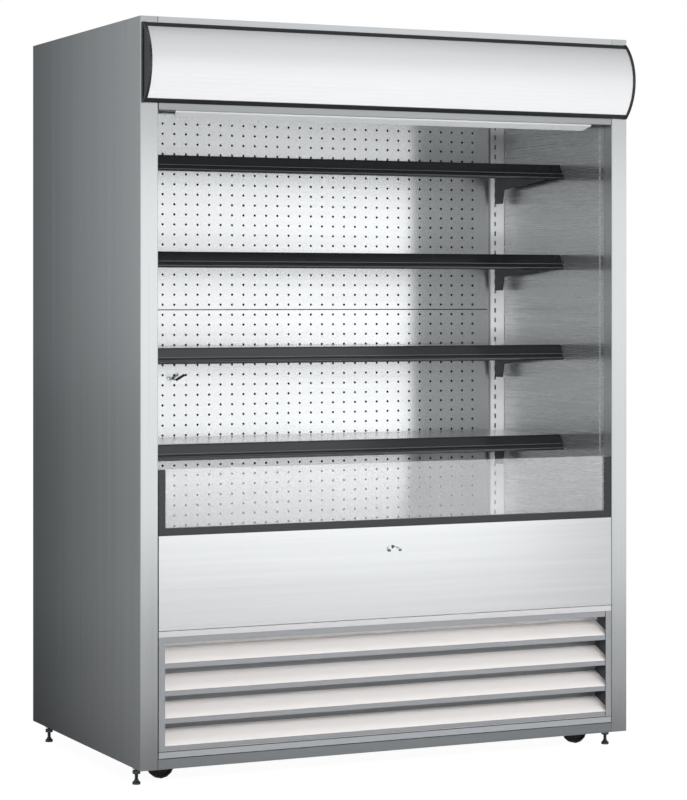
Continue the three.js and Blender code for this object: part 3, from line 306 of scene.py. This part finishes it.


# Satin enamelled steel grille: the coat is even, and its colour carries painted light: the broad
# slopes are painted pale as if lit, the faces square to the front grey as if shaded, the rolled top
# and foot carry painted highlights, and the seam and inner cheeks painted shade
def satinLouvre(name):
    material, tree, where = startMaterial(name)
    place = addNode(tree, "ShaderNodeSeparateXYZ", {"Vector": where})
    shape = addNode(tree, "ShaderNodeNewGeometry")
    facing = addNode(tree, "ShaderNodeSeparateXYZ", {"Vector": shape.outputs["True Normal"]})
    lines = stretchedNoise(tree, where, louvre["lines"], Detail=3.0)

    # the topmost louvre's upright back is painted pale like the slopes
    upward = remap(tree, facing.outputs["Z"], louvre["upward"])
    isBack = compute(tree, "GREATER_THAN", place.outputs["Y"], louvre["slopeBack"])
    isHigh = compute(tree, "GREATER_THAN", place.outputs["Z"], louvre["topLouvre"])
    isTopBack = compute(tree, "MULTIPLY", isBack, isHigh)
    isSlope = compute(tree, "MAXIMUM", upward, isTopBack)

    # the seam is a band around one height, the painted highlight of the rolled foot lies under it
    seamLow, seamHigh = louvre["seam"]
    isCrownHighlight = compute(tree, "GREATER_THAN", place.outputs["Z"], louvre["crownFoot"])
    isFoot = compute(tree, "LESS_THAN", place.outputs["Z"], seamLow)
    isSeam = compute(tree, "COMPARE", place.outputs["Z"], (seamLow + seamHigh) / 2,
                     (seamHigh - seamLow) / 2)

    # the cheeks' inner faces look towards the middle
    outward = compute(tree, "MULTIPLY", facing.outputs["X"], place.outputs["X"])
    isCheek = compute(tree, "LESS_THAN", outward, louvre["cheek"])
    isShade = compute(tree, "MAXIMUM", isSeam, isCheek)

    # painted light: highlights on the rolled edges, shade in the seam and cheeks, pale lit slopes
    footed = mixColours(tree, isFoot, louvre["front"], louvre["foot"])
    crownHighlighted = mixColours(tree, isCrownHighlight, footed, louvre["crownHighlight"])
    shaded = mixColours(tree, isShade, crownHighlighted, louvre["shade"])
    tint = mixColours(tree, isSlope, shaded, louvre["slope"])
    return finishMaterial(material, {
        "Metallic": 0.0,
        "Base Color": toned(tree, tint, remap(tree, lines, toRange=louvre["tone"])),
        "Roughness": waver(tree, lines, *louvre["roughness"])})


plastic = {
    "dieLines": (0.8, 500, 500),    # per metre
    "tone": (0.85, 1.15),
    "roughSpread": (0.05, 0.08),
    "relief": (0.06, 0.05 * mm),
    "refraction": 1.5,
}
ribs = {
    "foot": 0.85, "pitch": 0.2682,      # m, foot of the lowest strip, and from strip to strip
    "lines": (7.2 * mm, 19.4 * mm),     # above a strip's foot
    # painted highlight along the ribs' edges
    "halfWidth": 0.9 * mm,
    "edge": "#515457",
}


# Extruded plastic: die lines run along it, glossy between them. A ribbed one has paler lines at two
# heights of each strip, painted highlights where the ribs' edges catch the light
def extrudedPlastic(name, base, roughness, ribbed=False):
    material, tree, where = startMaterial(name)
    lines = stretchedNoise(tree, where, plastic["dieLines"], Detail=2.0)
    colour = toned(tree, base, remap(tree, lines, toRange=plastic["tone"]))
    if ribbed:
        place = addNode(tree, "ShaderNodeSeparateXYZ", {"Vector": where})
        above = compute(tree, "SUBTRACT", place.outputs["Z"], ribs["foot"])
        height = compute(tree, "FLOORED_MODULO", above, ribs["pitch"])
        # painted highlights at the ribs' edges
        for line in ribs["lines"]:
            onRibHighlight = compute(tree, "COMPARE", height, line, ribs["halfWidth"])
            colour = mixColours(tree, onRibHighlight, colour, ribs["edge"])
    return finishMaterial(material, {
        "Metallic": 0.0, "IOR": plastic["refraction"], "Base Color": colour,
        "Roughness": waver(tree, lines, roughness, *plastic["roughSpread"]),
        "Normal": relief(tree, lines, *plastic["relief"])})


opal = {
    "cloud": 2.5,               # per metre
    "tone": (0.995, 1.0),
    "roughness": (0.27, 0.29),
    "refraction": 1.49,
}


# Extruded opal acrylic: even white, and the tube behind it glows through. The glow changes with
# height, partly the lit box and partly painted light: brighter at the foot and dimmer at the head,
# as if lit from below. Heights are in m, and the glow is the one at the foot and the one at the
# head
def opalAcrylic(name, base, foot, head, glow):
    material, tree, where = startMaterial(name)
    cloud = evenNoise(tree, where, opal["cloud"])
    place = addNode(tree, "ShaderNodeSeparateXYZ", {"Vector": where})
    return finishMaterial(material, {
        "Metallic": 0.0, "IOR": opal["refraction"], "Emission Color": (1, 1, 1, 1),
        "Base Color": toned(tree, base, remap(tree, cloud, toRange=opal["tone"])),
        "Roughness": remap(tree, cloud, toRange=opal["roughness"]),
        "Emission Strength": remap(tree, place.outputs["Z"], (foot, head), glow)})


glass = {
    "base": "#f5f6f7",
    "cover": (0.85, 0.12),      # of the ground edges, and of the faces
    "cloud": 5.0,               # per metre
    "roughness": (0.0, 0.03),
    "refraction": 1.52,
}


# Clear float glass: hardly seen square on, with a paler ground edge along its top
def floatGlass(name):
    material, tree, where = startMaterial(name)
    shape = addNode(tree, "ShaderNodeNewGeometry")
    facing = addNode(tree, "ShaderNodeSeparateXYZ", {"Vector": shape.outputs["True Normal"]})
    isFace = compute(tree, "ABSOLUTE", facing.outputs["Y"])
    cloud = evenNoise(tree, where, glass["cloud"])
    return finishMaterial(material, {
        "Base Color": fromHex(glass["base"]), "IOR": glass["refraction"],
        "Roughness": remap(tree, cloud, toRange=glass["roughness"]),
        "Alpha": remap(tree, isFace, toRange=glass["cover"])})


galvanised = {
    "crystal": 16 * mm,
    "tones": ("#8f9598", "#a6abad"),
    # painted shade: the inner face, seen through the holes, is drawn dark
    "ductShade": "#26282a",
    "ductShadeBack": 0.4302,         # m, the sheet's inner face is in front of it
    "roughness": (0.36, 0.5),
    "metallic": 0.9,
}


# Hot-dip galvanised sheet: dull, with pale and dark crystals a centimetre or two across. Its inner
# face is painted dark, painted shade for the unlit air duct behind the perforated panels
def galvanisedSheet(name):
    material, tree, where = startMaterial(name)
    settings = {"Scale": 1 / galvanised["crystal"], "Vector": where}
    spangle = addNode(tree, "ShaderNodeTexVoronoi", settings)
    grey = addNode(tree, "ShaderNodeSeparateColor", {"Color": spangle.outputs["Color"]})
    tint = mixColours(tree, grey.outputs[0], *galvanised["tones"])
    place = addNode(tree, "ShaderNodeSeparateXYZ", {"Vector": where})
    isDuctShade = compute(tree, "LESS_THAN", place.outputs["Y"], galvanised["ductShadeBack"])
    return finishMaterial(material, {
        "Metallic": galvanised["metallic"],
        "Base Color": mixColours(tree, isDuctShade, tint, galvanised["ductShade"]),
        "Roughness": remap(tree, grey.outputs[1], toRange=galvanised["roughness"])})


plated = {
    "cloud": 9 * mm,
    "tone": (0.85, 1.05),
    "roughSpread": (0.06, 0.1),
}


# Plated or bare bright metal, a little cloudy
def zincPlate(name, base, roughness):
    material, tree, where = startMaterial(name)
    cloud = evenNoise(tree, where, 1 / plated["cloud"], 3.0)
    return finishMaterial(material, {
        "Metallic": 1.0,
        "Base Color": toned(tree, base, remap(tree, cloud, toRange=plated["tone"])),
        "Roughness": waver(tree, cloud, roughness, *plated["roughSpread"])})


rubber = {
    "tones": ("#1b1c1e", "#2d2e30"),
    "dust": 6 * mm,
    "roughness": (0.6, 0.85),
}


# Moulded rubber: dull and slightly dusty
def mouldedRubber(name):
    material, tree, where = startMaterial(name)
    dust = evenNoise(tree, where, 1 / rubber["dust"], 4.0)
    return finishMaterial(material, {
        "Metallic": 0.0, "Base Color": mixColours(tree, dust, *rubber["tones"]),
        "Roughness": remap(tree, dust, toRange=rubber["roughness"])})


finishes = {
    "leftWall": sideWall("leftWallStainless", -1),
    "rightWall": sideWall("rightWallStainless", 1),
    # painted shade: the header's steel is drawn darker, for the shade under the light box
    "header": brushedStainless("headerStainless", "x", "#9da0a1", "#95989a"),
    "roof": brushedStainless("roofStainless", "x", "#bfc2c3", "#b4b7b9"),
    "lowerPanel": brushedStainless("lowerPanelStainless", "x", "#d4d6d7", "#ccced0", 0.21),
    # painted highlight: the hem's steel is drawn brighter than the post it belongs to
    "hem": brushedStainless("hemStainless", "z", "#eceeef", "#e2e4e5", 0.2),
    "kick": brushedStainless("kickStainless", "x", "#9a9ea0", "#8f9396", 0.36),
    "lining": rolledStainless("liningRolledStainless", "#f0f2f3", "#eaeced", 0.25),
    "tub": rolledStainless("tubRolledStainless", "#b9bdbf", "#a4a9ab", 0.22),
    "galvanised": galvanisedSheet("galvanisedRearSheet"),
    "upright": powderCoat("uprightPowderCoat", "#f1f2f3", 0.38),
    "shelf": brushedStainless("shelfStainless", "x", "#eceeef", "#e4e6e7", 0.2),
    "bracket": powderCoat("bracketPowderCoat", "#3a3e40", 0.32),
    "louvre": satinLouvre("louvreSatinStainless"),
    "stripPlastic": extrudedPlastic("ticketStripPlastic", "#131517", 0.13, ribbed=True),
    "trimPlastic": extrudedPlastic("trimPlastic", "#181a1c", 0.26),
    # painted light: the diffuser glows brighter at its foot than at its head
    "opal": opalAcrylic("diffuserOpal", "#a6a7a9", 1.826, 2.028, (0.40, 0.05)),
    "lampOpal": opalAcrylic("lampOpal", "#c4c6c8", 1.787, 1.803, (0.06, 0.06)),
    "glass": floatGlass("riserFloatGlass"),
    "coil": zincPlate("coilAluminium", "#b9bcbe", 0.36),
    "enamel": powderCoat("compressorEnamel", "#232527", 0.34),
    "rubber": mouldedRubber("wheelRubber"),
    "screw": zincPlate("screwNickel", "#d7d9da", 0.2),
    "footSteel": zincPlate("footZinc", "#6f7375", 0.34),
    "screwDark": zincPlate("screwBlackNickel", "#5a5e60", 0.3),
}

nodeFinish = {
    "side_panel_left": "leftWall", "side_panel_right": "rightWall", "rear_wall": "galvanised",
    "roof_panel": "roof", "base_frame": "kick", "cavity_floor": "tub",
    "header_panel": "header", "lightbox_body": "trimPlastic", "lightbox_diffuser": "opal",
    "lightbox_cap_left": "trimPlastic", "lightbox_cap_right": "trimPlastic",
    "lightbox_led_tube": "opal", "interior_lamp": "lampOpal", "air_outlet_grille": "coil",
    "duct_ceiling": "lining", "rear_panel_upper": "lining", "rear_panel_lower": "lining",
    "deck_tray": "lining", "return_air_grille": "lining", "temp_probe": "rubber",
    "riser_glass": "glass", "riser_trim": "trimPlastic", "lower_front_panel": "lowerPanel",
    "panel_catch": "screw", "louvre_grille": "louvre", "condenser_coil": "coil",
    "evaporator_coil": "coil", "condenser_fan": "enamel", "evaporator_fan": "enamel",
    "compressor": "enamel",
}
shelfNumbers = range(1, 5)
corners = ("front_left", "front_right", "rear_left", "rear_right")
for sideName in ("left", "right"):
    nodeFinish[f"upright_{sideName}"] = "upright"
    for number in shelfNumbers:
        nodeFinish[f"bracket_{sideName}_{number}"] = "bracket"
for corner in corners:
    nodeFinish[f"caster_fork_{corner}"] = "enamel"
    nodeFinish[f"caster_wheel_{corner}"] = "rubber"
    nodeFinish[f"foot_{corner}"] = "footSteel"
for number in shelfNumbers:
    nodeFinish[f"shelf_{number}"] = "shelf"
    nodeFinish[f"ticket_strip_{number}"] = "stripPlastic"

for name, obj in nodes.items():
    obj.data.materials.clear()
    obj.data.materials.append(finishes[nodeFinish[name]])
print("materials on the frame:", len(finishes))


def newPiece(name, bm, finish, body, nodesReplaced=()):
    mesh = bpy.data.meshes.new(name)
    bm.to_mesh(mesh)
    bm.free()
    obj = bpy.data.objects.new(name, mesh)
    scene.collection.objects.link(obj)
    mesh.materials.append(finishes[finish])
    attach(obj, body)
    if nodesReplaced:
        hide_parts(*nodesReplaced)
    return obj


def everything(bm):
    return bm.verts[:] + bm.edges[:] + bm.faces[:]


# moves the points among what an operator has made
def shiftMade(bm, made, by):
    verts = [v for v in made["geom"] if isinstance(v, bmesh.types.BMVert)]
    bmesh.ops.translate(bm, verts=verts, vec=by)


# copies what is drawn so far until it stands count times, one step apart
def repeatDrawn(bm, count, step):
    drawn = everything(bm)
    for k in range(1, count):
        shiftMade(bm, bmesh.ops.duplicate(bm, geom=drawn), [k * part for part in step])


# folds or widens the sheet at its open edges that lie at one value of an axis
def extendEdges(bm, axis, value, by):
    edges = [e for e in bm.edges if e.is_boundary
             and all(abs(v.co[axis] - value) < near for v in e.verts)]
    shiftMade(bm, bmesh.ops.extrude_edge_only(bm, edges=edges), by)


perforation = {
    "pitchX": 36.65 * mm,
    "pitchZ": 29.43 * mm,
    "radius": 3.7 * mm,
    "sides": 8,
    "columns": 33,
    "endMargin": 0.4,       # pitches, a row closer to an end than this is left out
    "weld": 0.01 * mm,
    "seam": 1.2 * mm,       # each panel stops this much short of the seam
    "sheet": 1.2 * mm,
    "flange": 18 * mm,
}


# Perforated rear panel: one square cell with a round hole, repeated, then margins and side
# flanges. The rows are counted from the seam, which lies midway between two of them
def perforatedPanel(name, node, seamSide):
    p = perforation
    low, high = [list(corner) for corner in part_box(node)]
    counted = range(math.ceil((high[2] - low[2]) / p["pitchZ"]))
    if seamSide == "top":
        rows = [high[2] - (k + 0.5) * p["pitchZ"] for k in counted][::-1]
        high[2] -= p["seam"]
    else:
        rows = [low[2] + (k + 0.5) * p["pitchZ"] for k in counted]
        low[2] += p["seam"]
    margin = p["endMargin"] * p["pitchZ"]
    rows = [z for z in rows if low[2] + margin < z < high[2] - margin]

    # the cell: its hole, and the same ring pulled out to the cell's border
    bm = bmesh.new()
    ring = bmesh.ops.create_circle(bm, segments=p["sides"], radius=p["radius"])["verts"]
    border = bmesh.ops.create_circle(bm, segments=p["sides"], radius=p["radius"])["verts"]
    for v in border:
        reach = max(abs(v.co.x), abs(v.co.y))
        v.co.x *= p["pitchX"] / 2 / reach
        v.co.y *= p["pitchZ"] / 2 / reach
    loops = list({e for v in ring + border for e in v.link_edges})
    bmesh.ops.bridge_loops(bm, edges=loops)
    upright = Matrix.Rotation(math.pi / 2, 3, "X")
    bmesh.ops.rotate(bm, verts=bm.verts, cent=(0, 0, 0), matrix=upright)
    start = (-(p["columns"] - 1) / 2 * p["pitchX"], low[1], rows[0])
    bmesh.ops.translate(bm, verts=bm.verts, vec=start)
    repeatDrawn(bm, p["columns"], (p["pitchX"], 0, 0))
    repeatDrawn(bm, len(rows), (0, 0, p["pitchZ"]))
    bmesh.ops.remove_doubles(bm, verts=bm.verts, dist=p["weld"])

    # margins out to the box, none at the seam, where the last cells reach it
    halfX = p["columns"] * p["pitchX"] / 2
    extendEdges(bm, 0, -halfX, (low[0] + halfX, 0, 0))
    extendEdges(bm, 0, halfX, (high[0] - halfX, 0, 0))
    footZ = rows[0] - p["pitchZ"] / 2
    topZ = rows[-1] + p["pitchZ"] / 2
    for edgeSide, edge, end in (("foot", footZ, low[2]), ("top", topZ, high[2])):
        if edgeSide == seamSide:
            rim = [v for v in bm.verts if abs(v.co.z - edge) < near]
            bmesh.ops.translate(bm, verts=rim, vec=(0, 0, end - edge))
        else:
            extendEdges(bm, 2, edge, (0, 0, end - edge))
    for x in (low[0], high[0]):
        extendEdges(bm, 0, x, (0, p["flange"], 0))
    bmesh.ops.recalc_face_normals(bm, faces=bm.faces)
    panel = newPiece(name, bm, "lining", "cabinet", [node])
    wall = panel.modifiers.new("sheet", "SOLIDIFY")
    wall.thickness = p["sheet"]
    wall.offset = -1


perforatedPanel("rearPanelUpper", "rear_panel_upper", "foot")
perforatedPanel("rearPanelLower", "rear_panel_lower", "top")
print("perforated panels made")


# closed profile in the plane across x, drawn out from one end to the other
def drawnAlongX(bm, profile, start, end):
    ring = [bm.verts.new((start, y, z)) for y, z in profile]
    face = bm.faces.new(ring)
    shiftMade(bm, bmesh.ops.extrude_face_region(bm, geom=[face]), (end - start, 0, 0))
    bmesh.ops.recalc_face_normals(bm, faces=bm.faces)


# Each point is a share of the strip's height, and how many mm it stands out from the sheet
ticketStrip = {
    "outline": [(0.0, 2.6), (0.06, 3.8), (0.14, 4.3), (0.24, 4.1), (0.31, 3.2), (0.325, 0.9),
                (0.37, 0.9), (0.385, 2.2), (0.93, 1.7), (0.94, 2.9), (1.0, 2.9)],
    "sheet": 0.4 * mm,
    "foot": 3.6 * mm,       # the sheet's foot stands this far behind the front of the box
    "head": 0.4 * mm,       # and its head this far in front of the back
    "margin": 1.2 * mm,     # both stop this much short of the box's foot and top
}


# Ticket strip: an upper flat, a groove, and a rounded lip along the foot
def makeTicketStrip(number):
    low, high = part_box(f"ticket_strip_{number}")
    t = ticketStrip
    foot = Vector((0, low[1] + t["foot"], low[2] + t["margin"]))
    head = Vector((0, high[1] - t["head"], high[2] - t["margin"]))
    outward = Vector((0, head.z - foot.z, foot.y - head.y)).normalized() * -1
    points = [foot.lerp(head, share) + outward * out * mm for share, out in t["outline"]]
    points += [head - outward * t["sheet"], foot - outward * t["sheet"]]
    bm = bmesh.new()
    drawnAlongX(bm, [(v.y, v.z) for v in points], low[0], high[0])
    newPiece(f"ticketStrip{number}", bm, "stripPlastic", f"shelf_{number}",
             [f"ticket_strip_{number}"])


for number in shelfNumbers:
    makeTicketStrip(number)
print("ticket strips made")


# The grille's border is folded back under its rolled top and hangs down behind it. In m
borderReturn = {
    "side": 0.6795,
    "profile": [(-0.4188, 0.4005), (-0.4188, 0.384), (-0.4178, 0.384), (-0.4178, 0.3995),
                (-0.404, 0.3995), (-0.404, 0.4005)],
}
bm = bmesh.new()
drawnAlongX(bm, borderReturn["profile"], -borderReturn["side"], borderReturn["side"])
newPiece("grilleBorderReturn", bm, "louvre", "louvre_grille")
print("grille border made")


postHem = {
    "inner": 0.686, "y": -0.3777,       # m, where the post's sheet ends
    "foot": 0.672, "head": 1.801,       # m
    "radius": 1.3 * mm,
    "squash": (0.8, 1.3, 1),
    "sink": 0.3 * mm,                   # how deep it sits in the post
}


# The post's sheet is hemmed where it ends inside the opening: a rounded edge that catches a line,
# its steel drawn brighter than the post's as a painted highlight
def makeHem(name, sign):
    h = postHem
    bm = bmesh.new()
    ring = bmesh.ops.create_circle(bm, cap_ends=True, segments=12, radius=h["radius"])["verts"]
    bmesh.ops.scale(bm, verts=ring, vec=h["squash"])
    grown = bmesh.ops.extrude_face_region(bm, geom=bm.faces[:])
    shiftMade(bm, grown, (0, 0, h["head"] - h["foot"]))
    place = (sign * (h["inner"] - h["sink"]), h["y"], h["foot"])
    bmesh.ops.translate(bm, verts=bm.verts, vec=place)
    bmesh.ops.recalc_face_normals(bm, faces=bm.faces)
    newPiece(name, bm, "hem", "cabinet")


makeHem("postHemLeft", -1)
makeHem("postHemRight", 1)
print("hems made")


# In mm. The outline is radius and height, from the middle of the plate to the stem
levellingFoot = {
    "outline": [(0, 0), (10.4, 0), (11, 0.8), (11, 6.2), (10, 7.4), (6.8, 8.6), (6.8, 12),
                (5, 13)],
    "stem": 5.0, "stemTop": 78, "threadPitch": 2.6, "threadDepth": 0.7,   # drawn coarser than M10
    "nut": 10.8, "nutFoot": 28, "nutHeight": 10, "nutChamfer": 0.8,
    "steps": 20,
}


# Levelling foot: turned plate with a cone, threaded stem and the lock nut under the base
def makeFoot(corner):
    node = f"foot_{corner}"
    low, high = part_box(node)
    f = levellingFoot
    centre = ((low[0] + high[0]) / 2, (low[1] + high[1]) / 2, low[2])
    outline = list(f["outline"])
    z = outline[-1][1] + 1
    while z < f["stemTop"] - f["threadPitch"]:
        outline += [(f["stem"], z), (f["stem"] - f["threadDepth"], z + f["threadPitch"] / 2)]
        z += f["threadPitch"]
    outline += [(f["stem"], f["stemTop"]), (0, f["stemTop"])]
    bm = bmesh.new()
    line = [bm.verts.new((r * mm, 0, z * mm)) for r, z in outline]
    edges = [bm.edges.new(pair) for pair in zip(line, line[1:])]
    bmesh.ops.spin(bm, geom=line + edges, cent=(0, 0, 0), axis=(0, 0, 1), angle=math.tau,
                   steps=f["steps"], use_merge=True)
    bmesh.ops.remove_doubles(bm, verts=bm.verts, dist=near)
    nut = bmesh.ops.create_cone(bm, cap_ends=True, segments=6, radius1=f["nut"] * mm,
                                radius2=f["nut"] * mm, depth=f["nutHeight"] * mm)["verts"]
    bmesh.ops.translate(bm, verts=nut, vec=(0, 0, (f["nutFoot"] + f["nutHeight"] / 2) * mm))
    rims = [e for e in bm.edges if all(v in nut for v in e.verts)
            and abs(e.verts[0].co.z - e.verts[1].co.z) < near]
    bmesh.ops.bevel(bm, geom=rims, offset=f["nutChamfer"] * mm, affect="EDGES", segments=1,
                    profile=0.5, material=-1)
    bmesh.ops.translate(bm, verts=bm.verts, vec=centre)
    bmesh.ops.recalc_face_normals(bm, faces=bm.faces)
    newPiece(f"levellingFoot_{corner}", bm, "footSteel", node, [node])


for corner in corners:
    makeFoot(corner)

# Insets are from the catch's front and foot, the button's from its back and foot. Turns in
# radians
catchScrew = {
    "radius": 3.8 * mm, "height": 1.6 * mm, "slot": 0.55 * mm, "tolerance": 1e-7,
    "spacing": 33 * mm, "inset": 6.4 * mm, "up": 5 * mm,
    "turns": {"Left": 0.6, "Right": -0.5},
}
catchButton = {"radius": 4.4 * mm, "x": -5.6 * mm, "inset": 0.2 * mm, "up": 14.6 * mm, "turn": 0.9}


# Low round head with a driver slot
def makeScrew(name, place, radius, turn):
    c = catchScrew
    bm = bmesh.new()
    bmesh.ops.create_circle(bm, cap_ends=True, segments=16, radius=radius)
    for offset in (-c["slot"], c["slot"]):
        bmesh.ops.bisect_plane(bm, geom=everything(bm), dist=c["tolerance"],
                               plane_co=(0, offset, 0), plane_no=(0, 1, 0))
    raised = [f for f in bm.faces if abs(f.calc_center_median().y) > c["slot"]]
    shiftMade(bm, bmesh.ops.extrude_face_region(bm, geom=raised), (0, 0, c["height"]))
    bmesh.ops.delete(bm, geom=raised, context="FACES_ONLY")
    for angle, axis in ((turn, "Z"), (math.pi / 2, "X")):
        bmesh.ops.rotate(bm, verts=bm.verts, cent=(0, 0, 0), matrix=Matrix.Rotation(angle, 3, axis))
    bmesh.ops.translate(bm, verts=bm.verts, vec=place)
    bmesh.ops.recalc_face_normals(bm, faces=bm.faces)
    newPiece(name, bm, "screwDark", "cabinet")


catchLow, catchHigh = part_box("panel_catch")
for hand, sign in (("Left", -1), ("Right", 1)):
    place = (sign * catchScrew["spacing"] / 2, catchLow[1] + catchScrew["inset"],
             catchLow[2] + catchScrew["up"])
    makeScrew(f"catchScrew{hand}", place, catchScrew["radius"], catchScrew["turns"][hand])
# the arch's left end goes into a dark button on the panel
place = (catchButton["x"], catchHigh[1] - catchButton["inset"], catchLow[2] + catchButton["up"])
makeScrew("catchButton", place, catchButton["radius"], catchButton["turn"])
print("feet and screws made")


camera = {
    "lens": 114.66, "sensor": 36,       # mm
    "place": (-3.134, -6.749, 1.297),
    "turn": -25.2,                      # degrees about the vertical
    "shift": (0.0, -0.12475),
    "reach": 100,
}
cameraData = bpy.data.cameras.new("photoCamera")
cameraData.lens = camera["lens"]
cameraData.sensor_width = camera["sensor"]
cameraData.shift_x, cameraData.shift_y = camera["shift"]
cameraData.clip_end = camera["reach"]
cameraObject = bpy.data.objects.new("photoCamera", cameraData)
cameraObject.location = camera["place"]
cameraObject.rotation_euler = (math.radians(90), 0, math.radians(camera["turn"]))
scene.collection.objects.link(cameraObject)
scene.camera = cameraObject

softboxes = {
    "front": {"place": (1.6, -6.6, 1.0), "aim": (0, 0, 0.9), "size": (4.4, 2.2), "watts": 30},
    "overhead": {"place": (0.6, -2.4, 5.0), "aim": (0, 0, 0.8), "size": (3.0, 2.4), "watts": 26},
    "key": {"place": (-0.4, -5.4, 2.5), "aim": (0, 0, 0.8), "size": (3.4, 1.8), "watts": 120,
            "mirrored": False},
    "low": {"place": (0.2, -2.4, 0.95), "aim": (0, -0.42, 0.2), "size": (2.6, 0.3), "watts": 30,
            "mirrored": False},
}
for name, box in softboxes.items():
    lamp = bpy.data.lights.new(name, "AREA")
    lamp.shape = "RECTANGLE"
    lamp.size, lamp.size_y = box["size"]
    lamp.energy = box["watts"]
    lampObject = bpy.data.objects.new(name, lamp)
    lampObject.location = box["place"]
    toward = Vector(box["aim"]) - Vector(box["place"])
    lampObject.rotation_euler = toward.to_track_quat("-Z", "Y").to_euler()
    lampObject.visible_glossy = box.get("mirrored", True)
    scene.collection.objects.link(lampObject)

# White studio. The walls are what polished steel mirrors: degrees from the front, to the right
# positive, and how bright the wall is there. The dim stretch in front is where the camera stands
studio = {
    "walls": [(-180, 0.46), (-158, 0.42), (-120, 0.6), (-75, 1.1), (-44, 0.42), (8, 0.42),
              (14, 0.6), (19, 1.1), (25.5, 1.6), (31, 1.25), (36, 1.25), (41, 0.9), (70, 0.7),
              (180, 0.46)],
    "lean": 0.5,                     # the walls' bright bands lean this much to the right going up
    "wallTop": (0.1, 0.7),           # how steeply one looks up where wall turns into ceiling
    "ceiling": 0.5,                  # share of the walls' light overhead
    "matt": 0.62,                    # the level that lights matt surfaces
    "paper": "#f4f4f4",
    "floorSize": 60,
    "floorDrop": 0.5 * mm,
    "floorShadowNear": 0.27,               # painted shadow: the floor in a reflection, near the object
    "floorFar": 1.0,
    "floorFade": (1.0, 4.5),         # m from the middle, from near to far
    "floorSeen": 1.17,               # the floor as the camera sees it, before the shadow's share
    "floorShadowRear": 0.35,               # painted shadow: share of that behind the object
    "rearFade": (-0.5, 2.0),         # m, along y
    "pool": (2.5, -5.4),             # middle of the painted pool of light on the floor
    "poolReach": 2.4, "poolLevels": (1.4, 0.8),
    "floorShadow": 0.18,
}
world = bpy.data.worlds.new("whiteStudio")
scene.world = world
world.use_nodes = True
tree = world.node_tree
tree.nodes.clear()
path = addNode(tree, "ShaderNodeLightPath")
sight = addNode(tree, "ShaderNodeTexCoord")
heading = addNode(tree, "ShaderNodeSeparateXYZ", {"Vector": sight.outputs["Generated"]})
ahead = compute(tree, "MULTIPLY", heading.outputs["Y"], -1.0)
bearing = compute(tree, "ARCTAN2", heading.outputs["X"], ahead)
leaning = compute(tree, "MULTIPLY_ADD", heading.outputs["Z"], -studio["lean"], bearing)
walls = addNode(tree, "ShaderNodeValToRGB", {"Fac": remap(tree, leaning, (-math.pi, math.pi))})
walls.color_ramp.interpolation = "EASE"
stops = walls.color_ramp.elements
while len(stops) < len(studio["walls"]):
    stops.new(0.5)
for stop, (degrees, bright) in zip(stops, studio["walls"]):
    stop.position = (degrees + 180) / 360
    stop.color = (bright, bright, bright, 1.0)
height = remap(tree, heading.outputs["Z"], studio["wallTop"], (1.0, studio["ceiling"]),
               "SMOOTHSTEP")
matt = mixValues(tree, path.outputs["Is Diffuse Ray"], walls.outputs["Color"], studio["matt"])
level = compute(tree, "MULTIPLY", height, matt)
strength = mixValues(tree, path.outputs["Is Camera Ray"], level, 1.0)
sky = addNode(tree, "ShaderNodeBackground", {"Color": (1, 1, 1, 1), "Strength": strength})
addNode(tree, "ShaderNodeOutputWorld", {"Surface": sky.outputs[0]})

bm = bmesh.new()
bmesh.ops.create_grid(bm, x_segments=1, y_segments=1, size=studio["floorSize"] / 2)
bmesh.ops.translate(bm, verts=bm.verts, vec=(0, 0, -studio["floorDrop"]))
floorMesh = bpy.data.meshes.new("studioFloor")
bm.to_mesh(floorMesh)
bm.free()
floor = bpy.data.objects.new("studioFloor", floorMesh)
scene.collection.objects.link(floor)

# The floor is a diffuse paper to the light that it scatters, and mostly a level of its own to
# whoever looks at it or at its reflection. In reflections that level carries a painted shadow near
# and behind the object and a painted pool of light
floorPaint, tree, ground = startMaterial("floorPaper")
path = addNode(tree, "ShaderNodeLightPath")
away = addNode(tree, "ShaderNodeVectorMath", {"operation": "LENGTH", 0: ground})
# painted shadow near the object and behind it, and a painted pool of light, all seen in reflections
fade = remap(tree, away.outputs["Value"], studio["floorFade"],
             (studio["floorShadowNear"], studio["floorFar"]))
groundPlace = addNode(tree, "ShaderNodeSeparateXYZ", {"Vector": ground})
shadowBehind = remap(tree, groundPlace.outputs["Y"], studio["rearFade"], (1.0, studio["floorShadowRear"]))
faded = compute(tree, "MULTIPLY", fade, shadowBehind)
fromPool = addNode(tree, "ShaderNodeVectorMath", {
    "operation": "DISTANCE", 0: ground, 1: (*studio["pool"], 0)})
pool = remap(tree, fromPool.outputs["Value"], (0.0, studio["poolReach"]), studio["poolLevels"],
             "SMOOTHSTEP")
pooled = compute(tree, "MULTIPLY", faded, pool)
glow = mixValues(tree, path.outputs["Is Camera Ray"], pooled, studio["floorSeen"])
seen = compute(tree, "MAXIMUM", path.outputs["Is Camera Ray"], path.outputs["Is Glossy Ray"])
seenAll = compute(tree, "MAXIMUM", seen, path.outputs["Is Transmission Ray"])
share = compute(tree, "MULTIPLY", seenAll, 1 - studio["floorShadow"])
paper = addNode(tree, "ShaderNodeBsdfDiffuse", {"Color": fromHex(studio["paper"])})
white = addNode(tree, "ShaderNodeEmission", {"Color": (1, 1, 1, 1), "Strength": glow})
both = addNode(tree, "ShaderNodeMixShader", {0: share, 1: paper.outputs[0], 2: white.outputs[0]})
addNode(tree, "ShaderNodeOutputMaterial", {"Surface": both.outputs[0]})
floorMesh.materials.append(floorPaint)
print("camera, light and floor made")
